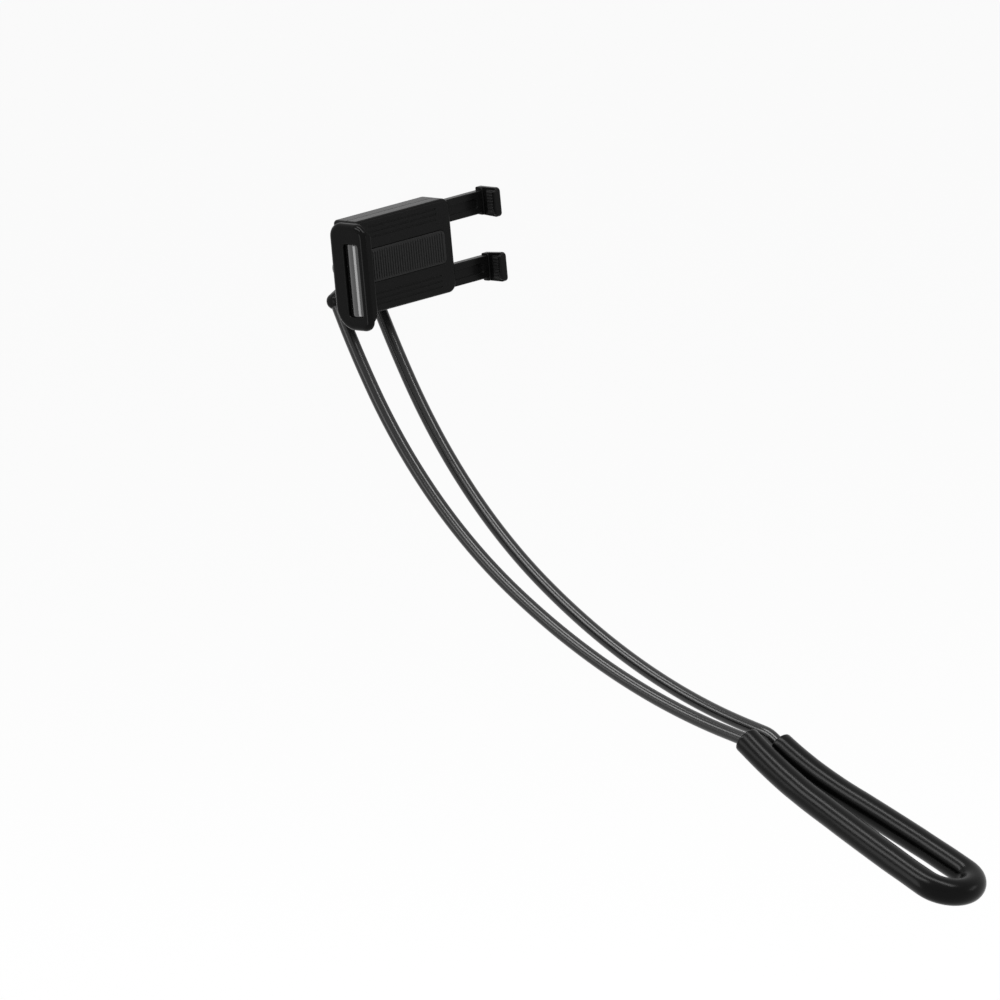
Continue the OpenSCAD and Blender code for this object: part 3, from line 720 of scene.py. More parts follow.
def half_spread(s):
    """Distance of a leg or an arm from the plane of symmetry at the length s."""
    s = np.asarray(s, float)
    loop = (LOOP_HALF - SPREAD_MOUTH) * ease((LOOP_OPENS - s) / (LOOP_OPENS + LOOP_RUN))
    mouth = (SPREADS[0] - SPREAD_MOUTH) * ease((s - RUN_ENDS[1]) / (RUN_ENDS[3] - RUN_ENDS[1]))
    return np.where(s < RUN_ENDS[3], SPREAD_MOUTH + loop + mouth, np.polyval(spread_curve, s))


def arm_points(side, s):
    """Points of one arm, on side -1 or 1, at the lengths s."""
    return np.concatenate([side * half_spread(s)[:, None], centre_line(s)], 1)


print("arm length from the origin to the yoke:", round(float(RUN_ENDS[-1]), 1), "mm")

# %% [markdown]
# A gooseneck is a soft metal core in a rubber sheath. It bends anywhere, but the frame bends it at
# three knuckles. One sheath for each arm could only blend between two bodies, so each arm is drawn as
# three lengths. Each length crosses one knuckle, and two lengths meet in the middle of a rigid section.

# %% Tubes along a path


def path_frames(path, reference):
    """Two directions square to the path at every point: one nearest to the reference, one across."""
    t = unit(np.gradient(path, axis=0))
    a = unit(reference - (t @ reference)[:, None] * t)
    return a, np.cross(t, a)


def tube_rings(path, radius, sides, reference):
    """Rings of the given radius, a number or one for each point, round the points of a path."""
    a, b = path_frames(path, np.asarray(reference, float))
    angle = np.linspace(0, 2 * math.pi, sides, endpoint=False)
    radius = np.broadcast_to(radius, len(path))[:, None, None]
    around = np.cos(angle)[None, :, None] * a[:, None] + np.sin(angle)[None, :, None] * b[:, None]
    return path[:, None] + radius * around


straight_path = np.outer(np.arange(4.0), ACROSS)
print("rings, points and axes of a short tube:", tube_rings(straight_path, 1, 8, (0, 1, 0)).shape)

# %% Gooseneck sheaths
SHEATH_R, SHEATH_SIDES, RING_STEP = 5.7, 32, 3.0
BLEND_REACHES = (22.0, 30.0, 30.0)


def mid(number):
    """Middle of a run, where two lengths of sheath meet."""
    return (RUN_ENDS[number] + RUN_ENDS[number + 1]) / 2


INSIDE_MOUTH, END_GAP = 60.0, 0.1
CORE_R, CORE_SIDES, BORE_R = 3.0, 16, 3.05
ARM_LENGTHS = {
    "lower": (INSIDE_MOUTH, mid(3), 0, ("grip", "lower_arms"), ("lower_tube", "lower_core")),
    "middle": (mid(3), mid(4), 1, ("lower_arms", "upper_arms"), ("upper_tube", "upper_core")),
    "upper": (mid(4), RUN_ENDS[-1] - END_GAP, 2, ("upper_arms", "neck"), ("neck_tube", "neck_core")),
}


def gooseneck(label, path, reference, body, nodes):
    """A sheath, with rings outside and rings inside on the way back, and the core in its bore."""
    outside = tube_rings(path, SHEATH_R, SHEATH_SIDES, reference)
    inside = tube_rings(path, BORE_R, SHEATH_SIDES, reference)[::-1]
    sheath = skin(f"gooseneck_{label}", np.concatenate([outside, inside]), ends="loop")
    dress(sheath, SHEATH_RUBBER, body, nodes[:1])
    core = skin(f"core_wire_{label}", tube_rings(path[1:-1], CORE_R, CORE_SIDES, reference))
    return sheath, dress(core, CORE_METAL, body, nodes[1:])


for side, side_name in ((-1, "left"), (1, "right")):
    for label, (begin, end, knuckle, bodies, nodes) in ARM_LENGTHS.items():
        stations = np.linspace(begin, end, int((end - begin) / RING_STEP))
        nodes = [f"{node}_{side_name}" for node in nodes]
        pieces = gooseneck(f"{label}_{side_name}", arm_points(side, stations), ACROSS, None, nodes)
        reach = np.array([-1, 1]) * BLEND_REACHES[knuckle]
        near, far = arm_points(side, RUN_ENDS[3 + knuckle] + reach) * MM
        for piece in pieces:
            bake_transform(piece)
print("six lengths of sheath, each with its core")

# %% [markdown]
# The grip is one long sleeve of closed-cell foam with a glossy skin. It runs from the left mouth down
# the left leg, round the loop's end, and up to the right mouth. The sleeve is drawn as a tube that
# turns in at both mouths and comes back inside itself, so that it is a closed solid with a real bore. It
# could be simulated as cloth, but a tight sleeve on a stiff tube has no folds for a simulation to find.

# %% Path of the grip


def leg_points(side, s):
    """Points of a leg of the grip. It follows the arm, and where the arm starts its sharp bend at the
    mouth the foam goes straight on, so that its rim is square to the leg."""
    kept = np.minimum(s, RUN_ENDS[1])
    slope = math.radians(GRIP_SLOPE + GRIP_ARC[1])
    ahead = (s - kept)[:, None] * np.array([0, math.cos(slope), math.sin(slope)])
    return arm_points(side, kept) + ahead


def loop_path(left, right, step=RING_STEP):
    """Path from the left mouth round the loop's end to the right mouth: a leg, a half circle in the
    sloping plane of the loop, and the other leg."""
    slope = math.radians(GRIP_SLOPE)
    down = np.linspace(left, -LOOP_RUN, int((left + LOOP_RUN) / step))
    up = np.linspace(-LOOP_RUN, right, int((right + LOOP_RUN) / step))
    angle = np.linspace(math.pi, 0, 26)[1:-1]
    centre = centre_line(np.array([-LOOP_RUN]))[0]
    reach = LOOP_HALF * np.sin(angle)
    y, z = centre[0] - reach * math.cos(slope), centre[1] - reach * math.sin(slope)
    bend = np.stack([LOOP_HALF * np.cos(angle), y, z], 1)
    return np.concatenate([leg_points(-1, down), bend, leg_points(1, up)])


LOOP_PLANE = np.array([0, -math.sin(math.radians(GRIP_SLOPE)), math.cos(math.radians(GRIP_SLOPE))])
print("the loop's end is", 2 * LOOP_HALF, "mm wide between the middles of its legs")

# %% Foam grip
FOAM_R, FOAM_SIDES = 11.5, 48
FOAM_BORE, BORE_FLARE, FLARE_RUN = 6.1, 0.8, 8.0
MOUTH_LEFT, MOUTH_RIGHT = 91.0, 76.0
RIM_STOPS = np.array([0, 0.25, 0.8, 1.6])
RIM = RIM_STOPS[-1]
SINKS = ((0.12, 19.0, 0.0), (0.08, 7.3, 1.0))


def foam_rings():
    """Outer rings, a rounded rim, inner rings back to the start, and the other rim. Two slow waves let
    the outside sink by up to 0.2 mm, as soft foam does over a bent tube."""
    path = loop_path(MOUTH_LEFT, MOUTH_RIGHT)
    length = np.concatenate([[0], np.cumsum(np.linalg.norm(np.diff(path, axis=0), axis=1))])
    between = np.arange(RING_STEP, length[-1] - RING_STEP + 0.1, RING_STEP)
    stops = np.unique(np.concatenate([RIM_STOPS, between, length[-1] - RIM_STOPS]))
    path = np.stack([np.interp(stops, length, path[:, k]) for k in range(3)], 1)
    from_mouth = np.minimum(stops, length[-1] - stops)
    rim = np.clip(1 - from_mouth / RIM, 0, 1)
    waves = sum(height * np.sin(stops / run + phase) for height, run, phase in SINKS)
    outer = FOAM_R - RIM * (1 - np.sqrt(1 - rim**2)) + np.minimum(waves, 0) * (rim == 0)
    out_rings = tube_rings(path, outer, FOAM_SIDES, LOOP_PLANE)
    bore = FOAM_BORE + BORE_FLARE * np.clip(1 - from_mouth / FLARE_RUN, 0, 1) ** 2
    in_rings = tube_rings(path, bore, FOAM_SIDES, LOOP_PLANE)[::-1]
    return np.concatenate([out_rings, in_rings])


foam = skin("foam_sleeve", foam_rings(), ends="loop")
dress(foam, FOAM_SKIN, "grip", ["foam_grip"])
inside_loop = loop_path(INSIDE_MOUTH, INSIDE_MOUTH)
gooseneck("loop", inside_loop, LOOP_PLANE, "grip", ["loop_tube", "loop_core"])
print("foam sleeve:", len(foam.data.polygons), "faces")

# %% [markdown]
# The clamp's body is two hollow mouldings that meet at a parting line. Each is a cup: from the middle of
# its outer face over a rounded edge, down the wall, across the rim and back up the inner wall. Rows of
# (inset, depth) describe the walk, and the outline carries it round the body. A box with a Solidify
# modifier would be quicker, but the walk also gives the rim its broken edges.

# %% Sizes of the body
BODY_LEFT, BODY_RIGHT, BODY_HALF = -54.0, 56.5, 40.0
FRONT, PARTING, BACK = 10.0, 22.0, 37.0
WALL, PART_GAP = 2.2, 0.1
RAIL_LOW, RAIL_HIGH, RAIL_FRONT, RAIL_BACK, RAIL_GAP = 18.0, 37.2, 13.0, 20.0, 0.4
SCREW_SPOTS = [(-48, 30), (-48, -30), (50.5, 10), (50.5, -10), (-38, 0)]
POST_R, POST_BORE = 3.6, 1.6
HEAD_R, HEAD_SEAT = 2.8, 2.95
body_outline = box_outline(BODY_LEFT, BODY_RIGHT, -BODY_HALF, BODY_HALF, [3.4, 8, 8, 3.4])
print("body outline:", len(body_outline[0]), "points")

# %% Cups and pockets


def cup_rows(face, rim, edge, wall=WALL):
    """Rows (inset, depth) of a cup from its outer face to its inner face: a quarter circle at the edge, a
    broken edge at the rim. The depth runs from the face to the rim, whichever way that is."""
    a = quarter()
    depth = abs(rim - face)
    walk = np.concatenate([
        [[edge + EDGE_SUPPORT, 0]],
        np.stack([edge * (1 - np.sin(a)), edge * (1 - np.cos(a))], 1),
        [[0, depth - 0.45], [0.12, depth - 0.12], [0.4, depth]],
        [[wall - 0.3, depth], [wall, depth - 0.3], [wall, wall + 0.4], [wall + 0.4, wall]],
    ])
    walk[:, 1] = face + math.copysign(1, rim - face) * walk[:, 1]
    return walk


def pocket_rows(face, bottom, rim=0.5, floor=0.4):
    """Rows of a cutter for a pocket: out of the face with a rounded rim, down the wall to a rounded
    floor. The cutter widens by the rim's radius where it leaves the face, and stands 1 mm out of it."""
    a = quarter(4)
    depth = abs(bottom - face)
    walk = np.concatenate([
        [[-rim, -1.0]],
        np.stack([-rim * (1 - np.sin(a)), rim * (1 - np.cos(a))], 1),
        np.stack([floor * (1 - np.cos(a)), depth - floor * (1 - np.sin(a))], 1),
    ])
    walk[:, 1] = face + math.copysign(1, bottom - face) * walk[:, 1]
    return walk


def pocket(outline, face, bottom, order, place=in_clamp, rim=0.5, floor=0.4):
    """A cutter for one pocket with that outline."""
    return skin("cutter", slab_rings(outline, pocket_rows(face, bottom, rim, floor), order), place)


print("a cup has", len(cup_rows(0, 10, 2)), "rows and a pocket", len(pocket_rows(0, 1)))

# %% Seats, windows and posts


def screw_seat(spot, face, bottom, order, place=in_clamp, corner=HEAD_SEAT, steps=10):
    """A cutter for the round seat of a screw's head."""
    outline = centred_outline(spot, (2 * HEAD_SEAT, 2 * HEAD_SEAT), corner, steps)
    return pocket(outline, face, bottom, order, place, rim=0.3, floor=0.05)


def rail_windows(depth=8):
    """Cutters for the two windows that the rails slide through."""
    low, high = RAIL_LOW - RAIL_GAP, RAIL_HIGH + RAIL_GAP
    front, back = RAIL_FRONT - RAIL_GAP, RAIL_BACK + RAIL_GAP
    outlines = [box_outline(front, back, z0, z1, 1.2, 4) for z0, z1 in ((low, high), (-high, -low))]
    return [pocket(outline, BODY_RIGHT, BODY_RIGHT - depth, FACING_X, rim=0.4) for outline in outlines]


def screw_posts(face, rim):
    """Tubes inside a moulding that take the cover's screws."""
    wall = [(POST_BORE, face), (POST_R, face), (POST_R, rim), (POST_BORE, rim)]
    places = [moved(in_clamp, (x, 0, z)) for x, z in SCREW_SPOTS]
    return [turned("post", wall, place, sides=24, ends="loop") for place in places]


def body_half(name, node, face, rim, edge, cutters, post_foot, *others):
    """One moulding of the body: its cup with the cutters taken out, then other closed parts and posts."""
    cup = skin(name, slab_rings(body_outline, cup_rows(face, rim, edge), FACING_Y), in_clamp)
    piece = join(name, cut(cup, *cutters), *others, *screw_posts(post_foot, rim))
    dress(piece, SATIN_BLACK, "clamp", [node])
    print(name, "has", len(piece.data.polygons), "faces")


print("posts for", len(SCREW_SPOTS), "screws")

# %% [markdown]
# The front shell lies behind the device. Its face has a shallow seat for the rest pad and grooves above
# and below it. A bump could fake the grooves, but cut ones also catch the light when seen along the face.

# %% Front shell
PAD_BOX, PAD_GAP, PAD_SEAT = (-43.0, 47.0, -14.0, 14.0), 0.3, 1.1
GROOVES, GROOVE_END, GROOVE_HALF, GROOVE_DEPTH = (-33, -28.5, -24, 24, 28.5, 33), 40, 0.7, 0.6
pad_seat = box_outline(*np.add(PAD_BOX, (-PAD_GAP, PAD_GAP, -PAD_GAP, PAD_GAP)), 4.2)
cutters = [pocket(pad_seat, FRONT, FRONT + PAD_SEAT, FACING_Y)]
for z in GROOVES:
    outline = box_outline(-GROOVE_END, GROOVE_END, z - GROOVE_HALF, z + GROOVE_HALF, 0.65, 4)
    cutters.append(pocket(outline, FRONT, FRONT + GROOVE_DEPTH, FACING_Y, rim=0.25, floor=0.25))
cutters += rail_windows()
body_half("front_shell", "clamp_front_shell", FRONT, PARTING - PART_GAP, 2.2, cutters, FRONT + 1.6)

# %% [markdown]
# The rear cover carries the socket's boss. The boss is turned: a concave fillet leads from the plate to
# its cylinder, and its end is hollowed out as half a sphere for the ball's liner. A Boolean could grow it
# into the cover, but it may stay a skin of its own in the same mesh, because its foot is in the plate.

# %% Rear cover with the boss
BOSS_R, SEAT_R = 13.4, 10.6
FOOT_R, FILLET_R = 18.6, 5.1
boss_profile = profile(
    [(0.02, -27.5), (FOOT_R, -27.5), (FOOT_R, -25.1)],
    arc((FOOT_R, -20.0), FILLET_R, -88, -180, 10),
    [(BOSS_R, -19.0), (BOSS_R, -0.8)],
    arc((BOSS_R - 0.6, -0.6), 0.6, 0, 90, 4),
    [(SEAT_R + 0.4, 0.0)],
    arc((0, 0), SEAT_R, -2, -89.9, 16),
)
boss = turned("boss", boss_profile, in_socket)
cutters = [screw_seat(spot, BACK, BACK - 2.9, FACING_Y) for spot in SCREW_SPOTS]
body_half("rear_cover", "clamp_rear_cover", BACK, PARTING + PART_GAP, 2.8, cutters, BACK - 1.5, boss)

# %% [markdown]
# The fixed jaw is the glossiest piece: a deep rounded plate whose outer edge rolls over in a wide curve.
# A pocket in its outer face holds a half-round bar, and a narrow lip at the front keeps the device in.
# A Boolean grows the lip into the plate, so that they read as one moulding.

# %% Fixed jaw and its lip
JAW_OUT, JAW_IN = -60.0, -54.0
JAW_BOX, JAW_RADII = (-3.5, 37.5, -52.0, 39.0), [10, 20, 12, 11]
BAR_MID, BAR_SIZE, BAR_DEPTH = (12.5, -9.0), (17.0, 62.0), 3.5
LIP_FRONT, LIP_BACK, LIP_ROUND = -3.48, -0.5, 1.4

outline = box_outline(*JAW_BOX, JAW_RADII, 14)
jaw_plate = slab("fixed_jaw", outline, (JAW_OUT, JAW_IN), (4.4, 0.5), FACING_X)


def curled_lip(root, tip, z0, z1, taper, place=in_clamp):
    """A lip along z that grows out of a plate's front edge. Its section in x and y is a rounded strip
    from root to tip, and it is drawn back to its root over the taper's length at both ends."""
    points, _ = box_outline(*sorted((root, tip)), LIP_FRONT, LIP_BACK, LIP_ROUND, 6)
    z = np.concatenate([z0 + taper * np.linspace(0, 1, 9), z1 - taper * np.linspace(1, 0, 9)])
    grown = np.sin(np.clip(np.minimum(z - z0, z1 - z) / taper, 0.03, 1) * math.pi / 2)
    x = root + (points[None, :, 0] - root) * grown[:, None]
    y = np.broadcast_to(points[None, :, 1], x.shape)
    return skin("lip", np.stack([x, y, np.broadcast_to(z[:, None], x.shape)], -1), place)


jaw_plate = fuse(jaw_plate, curled_lip(root=-56.5, tip=-49.5, z0=-45, z1=34, taper=7))
pad_seat = box_outline(0, 9.5, -37.2, 30.2, 2, 5)
jaw_plate = cut(
    jaw_plate,
    pocket(centred_outline(BAR_MID, BAR_SIZE, 3.0), JAW_OUT, JAW_OUT + BAR_DEPTH, FACING_X, rim=0.9),
    pocket(pad_seat, JAW_IN, JAW_IN - 0.5, FACING_X, rim=0.1, floor=0.1),
)
dress(jaw_plate, GLOSS_BLACK, "clamp", ["fixed_jaw"])
print("jaw:", len(jaw_plate.data.polygons), "faces")

# %% [markdown]
# The bar in the jaw's pocket is a glossy half-round strip that draws one bright line. A scaled cylinder
# could stand for it, but here its section narrows towards both ends, so that they are rounded too.

# %% Bar in the jaw's pocket


def half_round_bar(name, middle, size, crest, back, radius, corner=2.6, gaps=(0.8, 0.25)):
    """A bar along z whose outer side is an arc of that radius. Each ring is the half-round section,
    narrowed near both ends by a quarter circle, so that the ends are rounded too. The gaps part the bar
    from its pocket on each side."""
    half_w, half_h = np.array(size) / 2 - gaps
    ends = np.sin(quarter(8))
    inwards = corner * (1 - np.cos(quarter(8)))
    z = np.concatenate([-half_h + inwards, half_h - inwards[::-1]])
    shrink = corner * (1 - np.concatenate([ends, ends[::-1]]))
    t = np.linspace(-1, 1, 25)[None, :]
    y = (half_w - shrink)[:, None] * t
    x = crest + radius - np.sqrt(radius**2 - y**2) + 0.5 * (shrink / corner)[:, None]
    corners = (half_w - shrink)[:, None] * np.array([[1.0, -1.0]])
    bottom = np.stack([np.full_like(corners, back), corners], -1)
    section = np.concatenate([np.stack([x, y], -1), bottom], 1)
    rings = np.concatenate([section, np.broadcast_to(z[:, None, None], section.shape[:2] + (1,))], -1)
    return skin(name, rings + np.array([0, *middle]), in_clamp)


jaw_bar = half_round_bar("jaw_bar", BAR_MID, BAR_SIZE, crest=-59.5, back=-56.45, radius=11.5)
dress(jaw_bar, DARK_GLASSY, "clamp", ["jaw_trim"])
print("bar:", len(jaw_bar.data.polygons), "faces")

# %% [markdown]
# The carriage is one moulding: two rails, a bar that joins them inside the body, and a hook at the end
# of each rail. Long channels in the rails' front make them light and stiff. The second hook is not drawn
# again: its placing mirrors the first, and skin() turns the mirrored faces round.

# %% Sliding carriage
HOOK_IN, HOOK_OUT = 99.0, 104.0
CHANNEL_DEPTH = 1.2


def flipped(place, side):
    """The same placing, mirrored to -z where the side is -1."""
    return lambda points: place(np.asarray(points, float) * np.array([1, 1, side]))


def hook_parts(side):
    """Rail, root, hook plate and lip of one side, made at +z and mirrored for the other side."""
    place = flipped(in_clamp, side)
    outline = box_outline(-4, HOOK_IN + 1, RAIL_LOW, RAIL_HIGH, 2, 5)
    rail = slab("rail", outline, (RAIL_FRONT, RAIL_BACK), (0.9, 0.6), FACING_Y, place)
    channel = box_outline(2, 92, 23.5, 31.5, 2.5, 5)
    rail = cut(rail, pocket(channel, RAIL_FRONT, RAIL_FRONT + CHANNEL_DEPTH, FACING_Y, place, 0.4))
    outline = rounded_polygon([(11.5, 16.1), (20, 16.5), (20, 40), (11.5, 40)], [3, 1.3, 1.3, 3], 5)
    root = slab("root", outline, (HOOK_IN - 1.9, HOOK_OUT - 1.0), (0.8, 0.3), FACING_X, place)
    outline = rounded_polygon([(-3.5, 15), (20, 16.5), (20, 40), (-3.5, 40)], [3.4, 2, 2, 3.4], 6)
    plate = slab("plate", outline, (HOOK_IN, HOOK_OUT), (0.4, 1.6), FACING_X, place)
    lip = curled_lip(HOOK_IN + 1.5, HOOK_IN - 3, 15.9, 39.1, 2.5, place)
    return rail, root, plate, lip


outline = box_outline(7, 11.2, -19, 19, 1, 3)
cross_bar = slab("cross_bar", outline, (13.2, 19.8), (0.5, 0.5), FACING_Y)
carriage = fuse(cross_bar, *hook_parts(1), *hook_parts(-1))
carriage.name = carriage.data.name = "carriage_moulding"
dress(carriage, SATIN_BLACK, "slide", ["carriage"])
print("carriage:", len(carriage.data.polygons), "faces")

# %% [markdown]
# Soft rubber pads line every face that touches the device. They are ribbed, because ribs grip a smooth
# case and give a little. A bump in the material could fake such ribs, but they show in the outline, so
# each rib is a small slab with a full round edge, set on the pad's base.

# %% Ribbed pads
EDGE_ROUND, RIB_SUPPORT = 0.05, 0.1


def rib(u0, u1, v0, v1, foot, top, order, place=in_clamp):
    """One rounded rib between two corners, from its foot to its top."""
    radius = min(u1 - u0, v1 - v0) / 2 - 0.02
    rounds = (EDGE_ROUND, min(radius, 0.6))
    if top < foot:
        foot, top, rounds = top, foot, rounds[::-1]
    outline = box_outline(u0, u1, v0, v1, radius, 4)
    return slab("rib", outline, (foot, top), rounds, order, place, RIB_SUPPORT)


def ribbed_pad(node, body, outline, depths, rounds, order, ribs, place=in_clamp):
    """A pad's base with its ribs. Each rib is given by its corners, its foot and its top."""
    base = slab(node, outline, depths, rounds, order, place)
    ribs = [rib(*corners, order, place) for corners in ribs]
    dress(join(f"{node}_ribbed", base, *ribs), PAD_RUBBER, body, [node])
    print(node, "has", len(ribs), "ribs")


ribs = [(x - 0.85, x + 0.85, -12.2, 12.2, 9.3, 8.5) for x in np.arange(-39.8, 45, 2.8)]
outline = box_outline(*PAD_BOX, 4.0, 6)
ribbed_pad("rest_pad", "clamp", outline, (9.15, 11.0), (0.5, 0.1), FACING_Y, ribs)
ribs = [(1, 7.5, z - 1.5, z + 1.5, -53.3, -52.5) for z in range(-33, 28, 6)]
outline = box_outline(0.2, 8.5, -37, 30, 2, 5)
ribbed_pad("jaw_pad", "clamp", outline, (-54.4, -53.1), (0.1, 0.4), FACING_X, ribs)
ribs = [(0.9, 7.3, z - 1.0, z + 1.0, 98.2, 97.5) for z in np.arange(20.2, 37, 2.6)]
outline = box_outline(0.2, 8, 18, 38, 1.5, 5)
for side, node in ((1, "hook_pad_upper"), (-1, "hook_pad_lower")):
    place = flipped(in_clamp, side)
    ribbed_pad(node, "slide", outline, (98.1, 99), (0.3, 0.1), FACING_X, ribs, place)

# %% [markdown]
# The yoke joins the two arms. Its two halves share one plan: a hub over a crossbar, with hollow curves
# where they meet and round shoulders where the arms come in. The outer edges are rolled over so far
# that the crossbar's ends look like knuckles. Ferrules, the stud and the screws get seats, which are cut
# with turned skins a little larger than the parts.

# %% Yoke halves
HUB_R, YOKE_HALF, YOKE_ROUND = 10.0, 8.0, 6.2
LEG_X, LEG_OUT, LEG_END, LEG_TOP = SPREADS[3], 28.8, -31.0, -19.4
FIT = 0.1
FERRULE_R, FERRULE_LOW, FERRULE_TOP = 6.5, -26.3, -21.9
FLANGE_R, FLANGE_LOW, FLANGE_TOP = 6.8, -25.5, -23.5
TUBE_SEAT_R = 5.9
YOKE_SCREWS = [(0, -11), (10.5, -20.5), (-10.5, -20.5)]
yoke_corners = [
    (-LEG_OUT, LEG_END), (-14.2, LEG_END), (0, -26.2), (14.2, LEG_END), (LEG_OUT, LEG_END),
    (LEG_OUT, LEG_TOP), (9.0, -12.0), (HUB_R, HUB_R), (-HUB_R, HUB_R), (-9.0, -12.0), (-LEG_OUT, LEG_TOP),
]
yoke_plan = rounded_polygon(yoke_corners, [6.6, 9, 12, 9, 6.6, 6.6, 5, 9.3, 9.3, 5, 6.6], 8)
ferrule_seat = [
    (0.02, -40), (TUBE_SEAT_R, -40),
    (TUBE_SEAT_R, FERRULE_LOW - FIT), (FERRULE_R + FIT, FERRULE_LOW - FIT),
    (FERRULE_R + FIT, FLANGE_LOW - FIT), (FLANGE_R + FIT, FLANGE_LOW - FIT),
    (FLANGE_R + FIT, FLANGE_TOP + FIT), (FERRULE_R + FIT, FLANGE_TOP + FIT),
    (FERRULE_R + FIT, FERRULE_TOP + FIT), (0.02, FERRULE_TOP + FIT),
]
stud_seat = [(0.02, -1.6), (6.6, -1.6), (6.6, 1.6), (3.6, 1.6), (3.6, 7.4), (4.2, 8), (4.2, 9), (0.02, 9)]


def yoke_half(name, sign):
    """One half of the yoke, from the parting plane outwards, with its seats cut in."""
    depths = (PART_GAP / 2, YOKE_HALF) if sign > 0 else (-YOKE_HALF, -PART_GAP / 2)
    rounds = (0.3, YOKE_ROUND) if sign > 0 else (YOKE_ROUND, 0.3)
    half = slab(name, yoke_plan, depths, rounds, FACING_Z, in_yoke)
    places = [moved(in_yoke, (x, 0, 0)) for x in (-LEG_X, LEG_X)]
    seats = [turned("cutter", ferrule_seat, place, sides=48) for place in places]
    seats.append(turned("cutter", stud_seat, in_yoke, axis=2, sides=48))
    if sign < 0:
        for spot in YOKE_SCREWS:
            seats.append(screw_seat(spot, -YOKE_HALF, -5.5, FACING_Z, in_yoke, HEAD_SEAT - 0.01, 8))
    return cut(half, *seats)


yoke_halves = [yoke_half("yoke_half_front", 1), yoke_half("yoke_half_rear", -1)]
for half, node in zip(yoke_halves, ("yoke_front", "yoke_rear")):
    dress(half, SATIN_BLACK, "neck", [node])
print("yoke halves:", [len(half.data.polygons) for half in yoke_halves], "faces")

# %% [markdown]
# A ferrule is a metal sleeve crimped round the end of a gooseneck, with a flange that the yoke's halves
# catch. A Bevel modifier could break its edges, but a few more points in its profile do the same.

# %% Ferrules
CRIMP, FERRULE_BORE, CORE_BORE = 0.2, 5.75, 0.4
ferrule_profile = [
    (FERRULE_BORE, FERRULE_LOW), (FERRULE_R - CRIMP, FERRULE_LOW), (FERRULE_R, FERRULE_LOW + CRIMP),
    (FERRULE_R, FLANGE_LOW), (FLANGE_R, FLANGE_LOW), (FLANGE_R, FLANGE_TOP), (FERRULE_R, FLANGE_TOP),
    (FERRULE_R, FERRULE_TOP - CRIMP), (FERRULE_R - CRIMP, FERRULE_TOP),
    (CORE_BORE, FERRULE_TOP), (CORE_BORE, -23.3), (FERRULE_BORE, -23.3),
]
for x, node in ((-LEG_X, "ferrule_left"), (LEG_X, "ferrule_right")):
    place = moved(in_yoke, (x, 0, 0))
    ferrule = turned(f"{node}_crimped", ferrule_profile, place, sides=48, ends="loop")
    dress(ferrule, CORE_METAL, "neck", [node])
print("ferrules:", len(ferrule.data.polygons), "faces each")

# %% [markdown]
# The stud is turned and polished steel: a flange that spins in the yoke, a neck and a ball. It could be
# a sphere on a cylinder, but as one profile it gets a true fillet where the neck meets the ball.

# %% Ball stud
BALL_R, STUD_R, FILLET = 8.45, 3.4, 1.0
neck_top = REACH - math.sqrt((BALL_R + FILLET) ** 2 - (STUD_R + FILLET) ** 2)
touch = math.degrees(math.atan2(neck_top - REACH, STUD_R + FILLET))
stud_profile = profile(
    [(0.02, -1.5), (6.2, -1.5), (6.5, -1.2), (6.5, 1.2), (6.2, 1.5), (STUD_R + 0.4, 1.5), (STUD_R, 1.9)],
    [(STUD_R, neck_top)],
    arc((STUD_R + FILLET, neck_top), FILLET, 180, 180 + touch, 5)[1:],
    arc((0, REACH), BALL_R, touch, 89.9, 28)[1:],
)
ball_stud = turned("ball_stud_polished", stud_profile, in_yoke, axis=2, sides=72)
dress(ball_stud, BRIGHT_STEEL, "stud", ["ball_stud"])
print("ball stud:", len(ball_stud.data.polygons), "faces")

# %% [markdown]
# The lock ring is turned too, but the radius of its outer wall changes round the turn. That makes its
# grooves without a cutter for each, and they fade out by themselves towards the chamfers.

# %% Lock ring
RING_R, RING_GROOVES, GROOVE_SIDES = 17.5, 20, 14
RING_GROOVE_DEPTH, CHAMFER_R = 0.8, 15.5


def grooved(radius, angle):
    """Outer radius less the depth of the round grooves, which fade out at both chamfered ends."""
    wave = np.cos(angle * RING_GROOVES)
    depth = RING_GROOVE_DEPTH * np.clip(1 - (1 - wave) / 0.55, 0, 1) ** 0.6
    return radius - depth * ease((radius - CHAMFER_R) / 1.2)


ring_profile = profile(
    [(BOSS_R + 0.12, -11.7), (BOSS_R + 0.4, -12.0), (16.3, -12.0)],
    arc((RING_R - 1.2, -10.8), 1.2, -90, 0, 5),
    [(RING_R, -8), (RING_R, -4), (RING_R, 0), (RING_R, 4.3)],
    arc((RING_R - 2.0, 4.5), 2.0, 0, 90, 6),
    [(12.0, 6.5), (11.4, 6.35), (11.0, 6.2), (9.4, 5.35)],
    arc((0, 0), SEAT_R, 29, 2, 8),
    [(SEAT_R + 0.02, 0.25), (BOSS_R + 0.12, 0.25)],
)
sides = RING_GROOVES * GROOVE_SIDES
lock_ring = turned("lock_ring_knurled", ring_profile, in_socket, sides=sides, shape=grooved, ends="loop")
dress(lock_ring, SATIN_BLACK, "ring", ["lock_ring"])
print("lock ring:", len(lock_ring.data.polygons), "faces")

# %% [markdown]
# All screws share one shape: a low dome with a crossed recess, and a plain shank. The recess is cut with
# two tapered blades at right angles, as the driver's tip would press it. Every screw is made by the same
# function, and its placing turns it by an angle of its own.

# %% One screw
HEAD_T, SHANK_R, CROWN_R = 2.0, 1.5, 7.0
BLADE_HALF, RECESS = np.array([1.55, 0.36]), 1.35


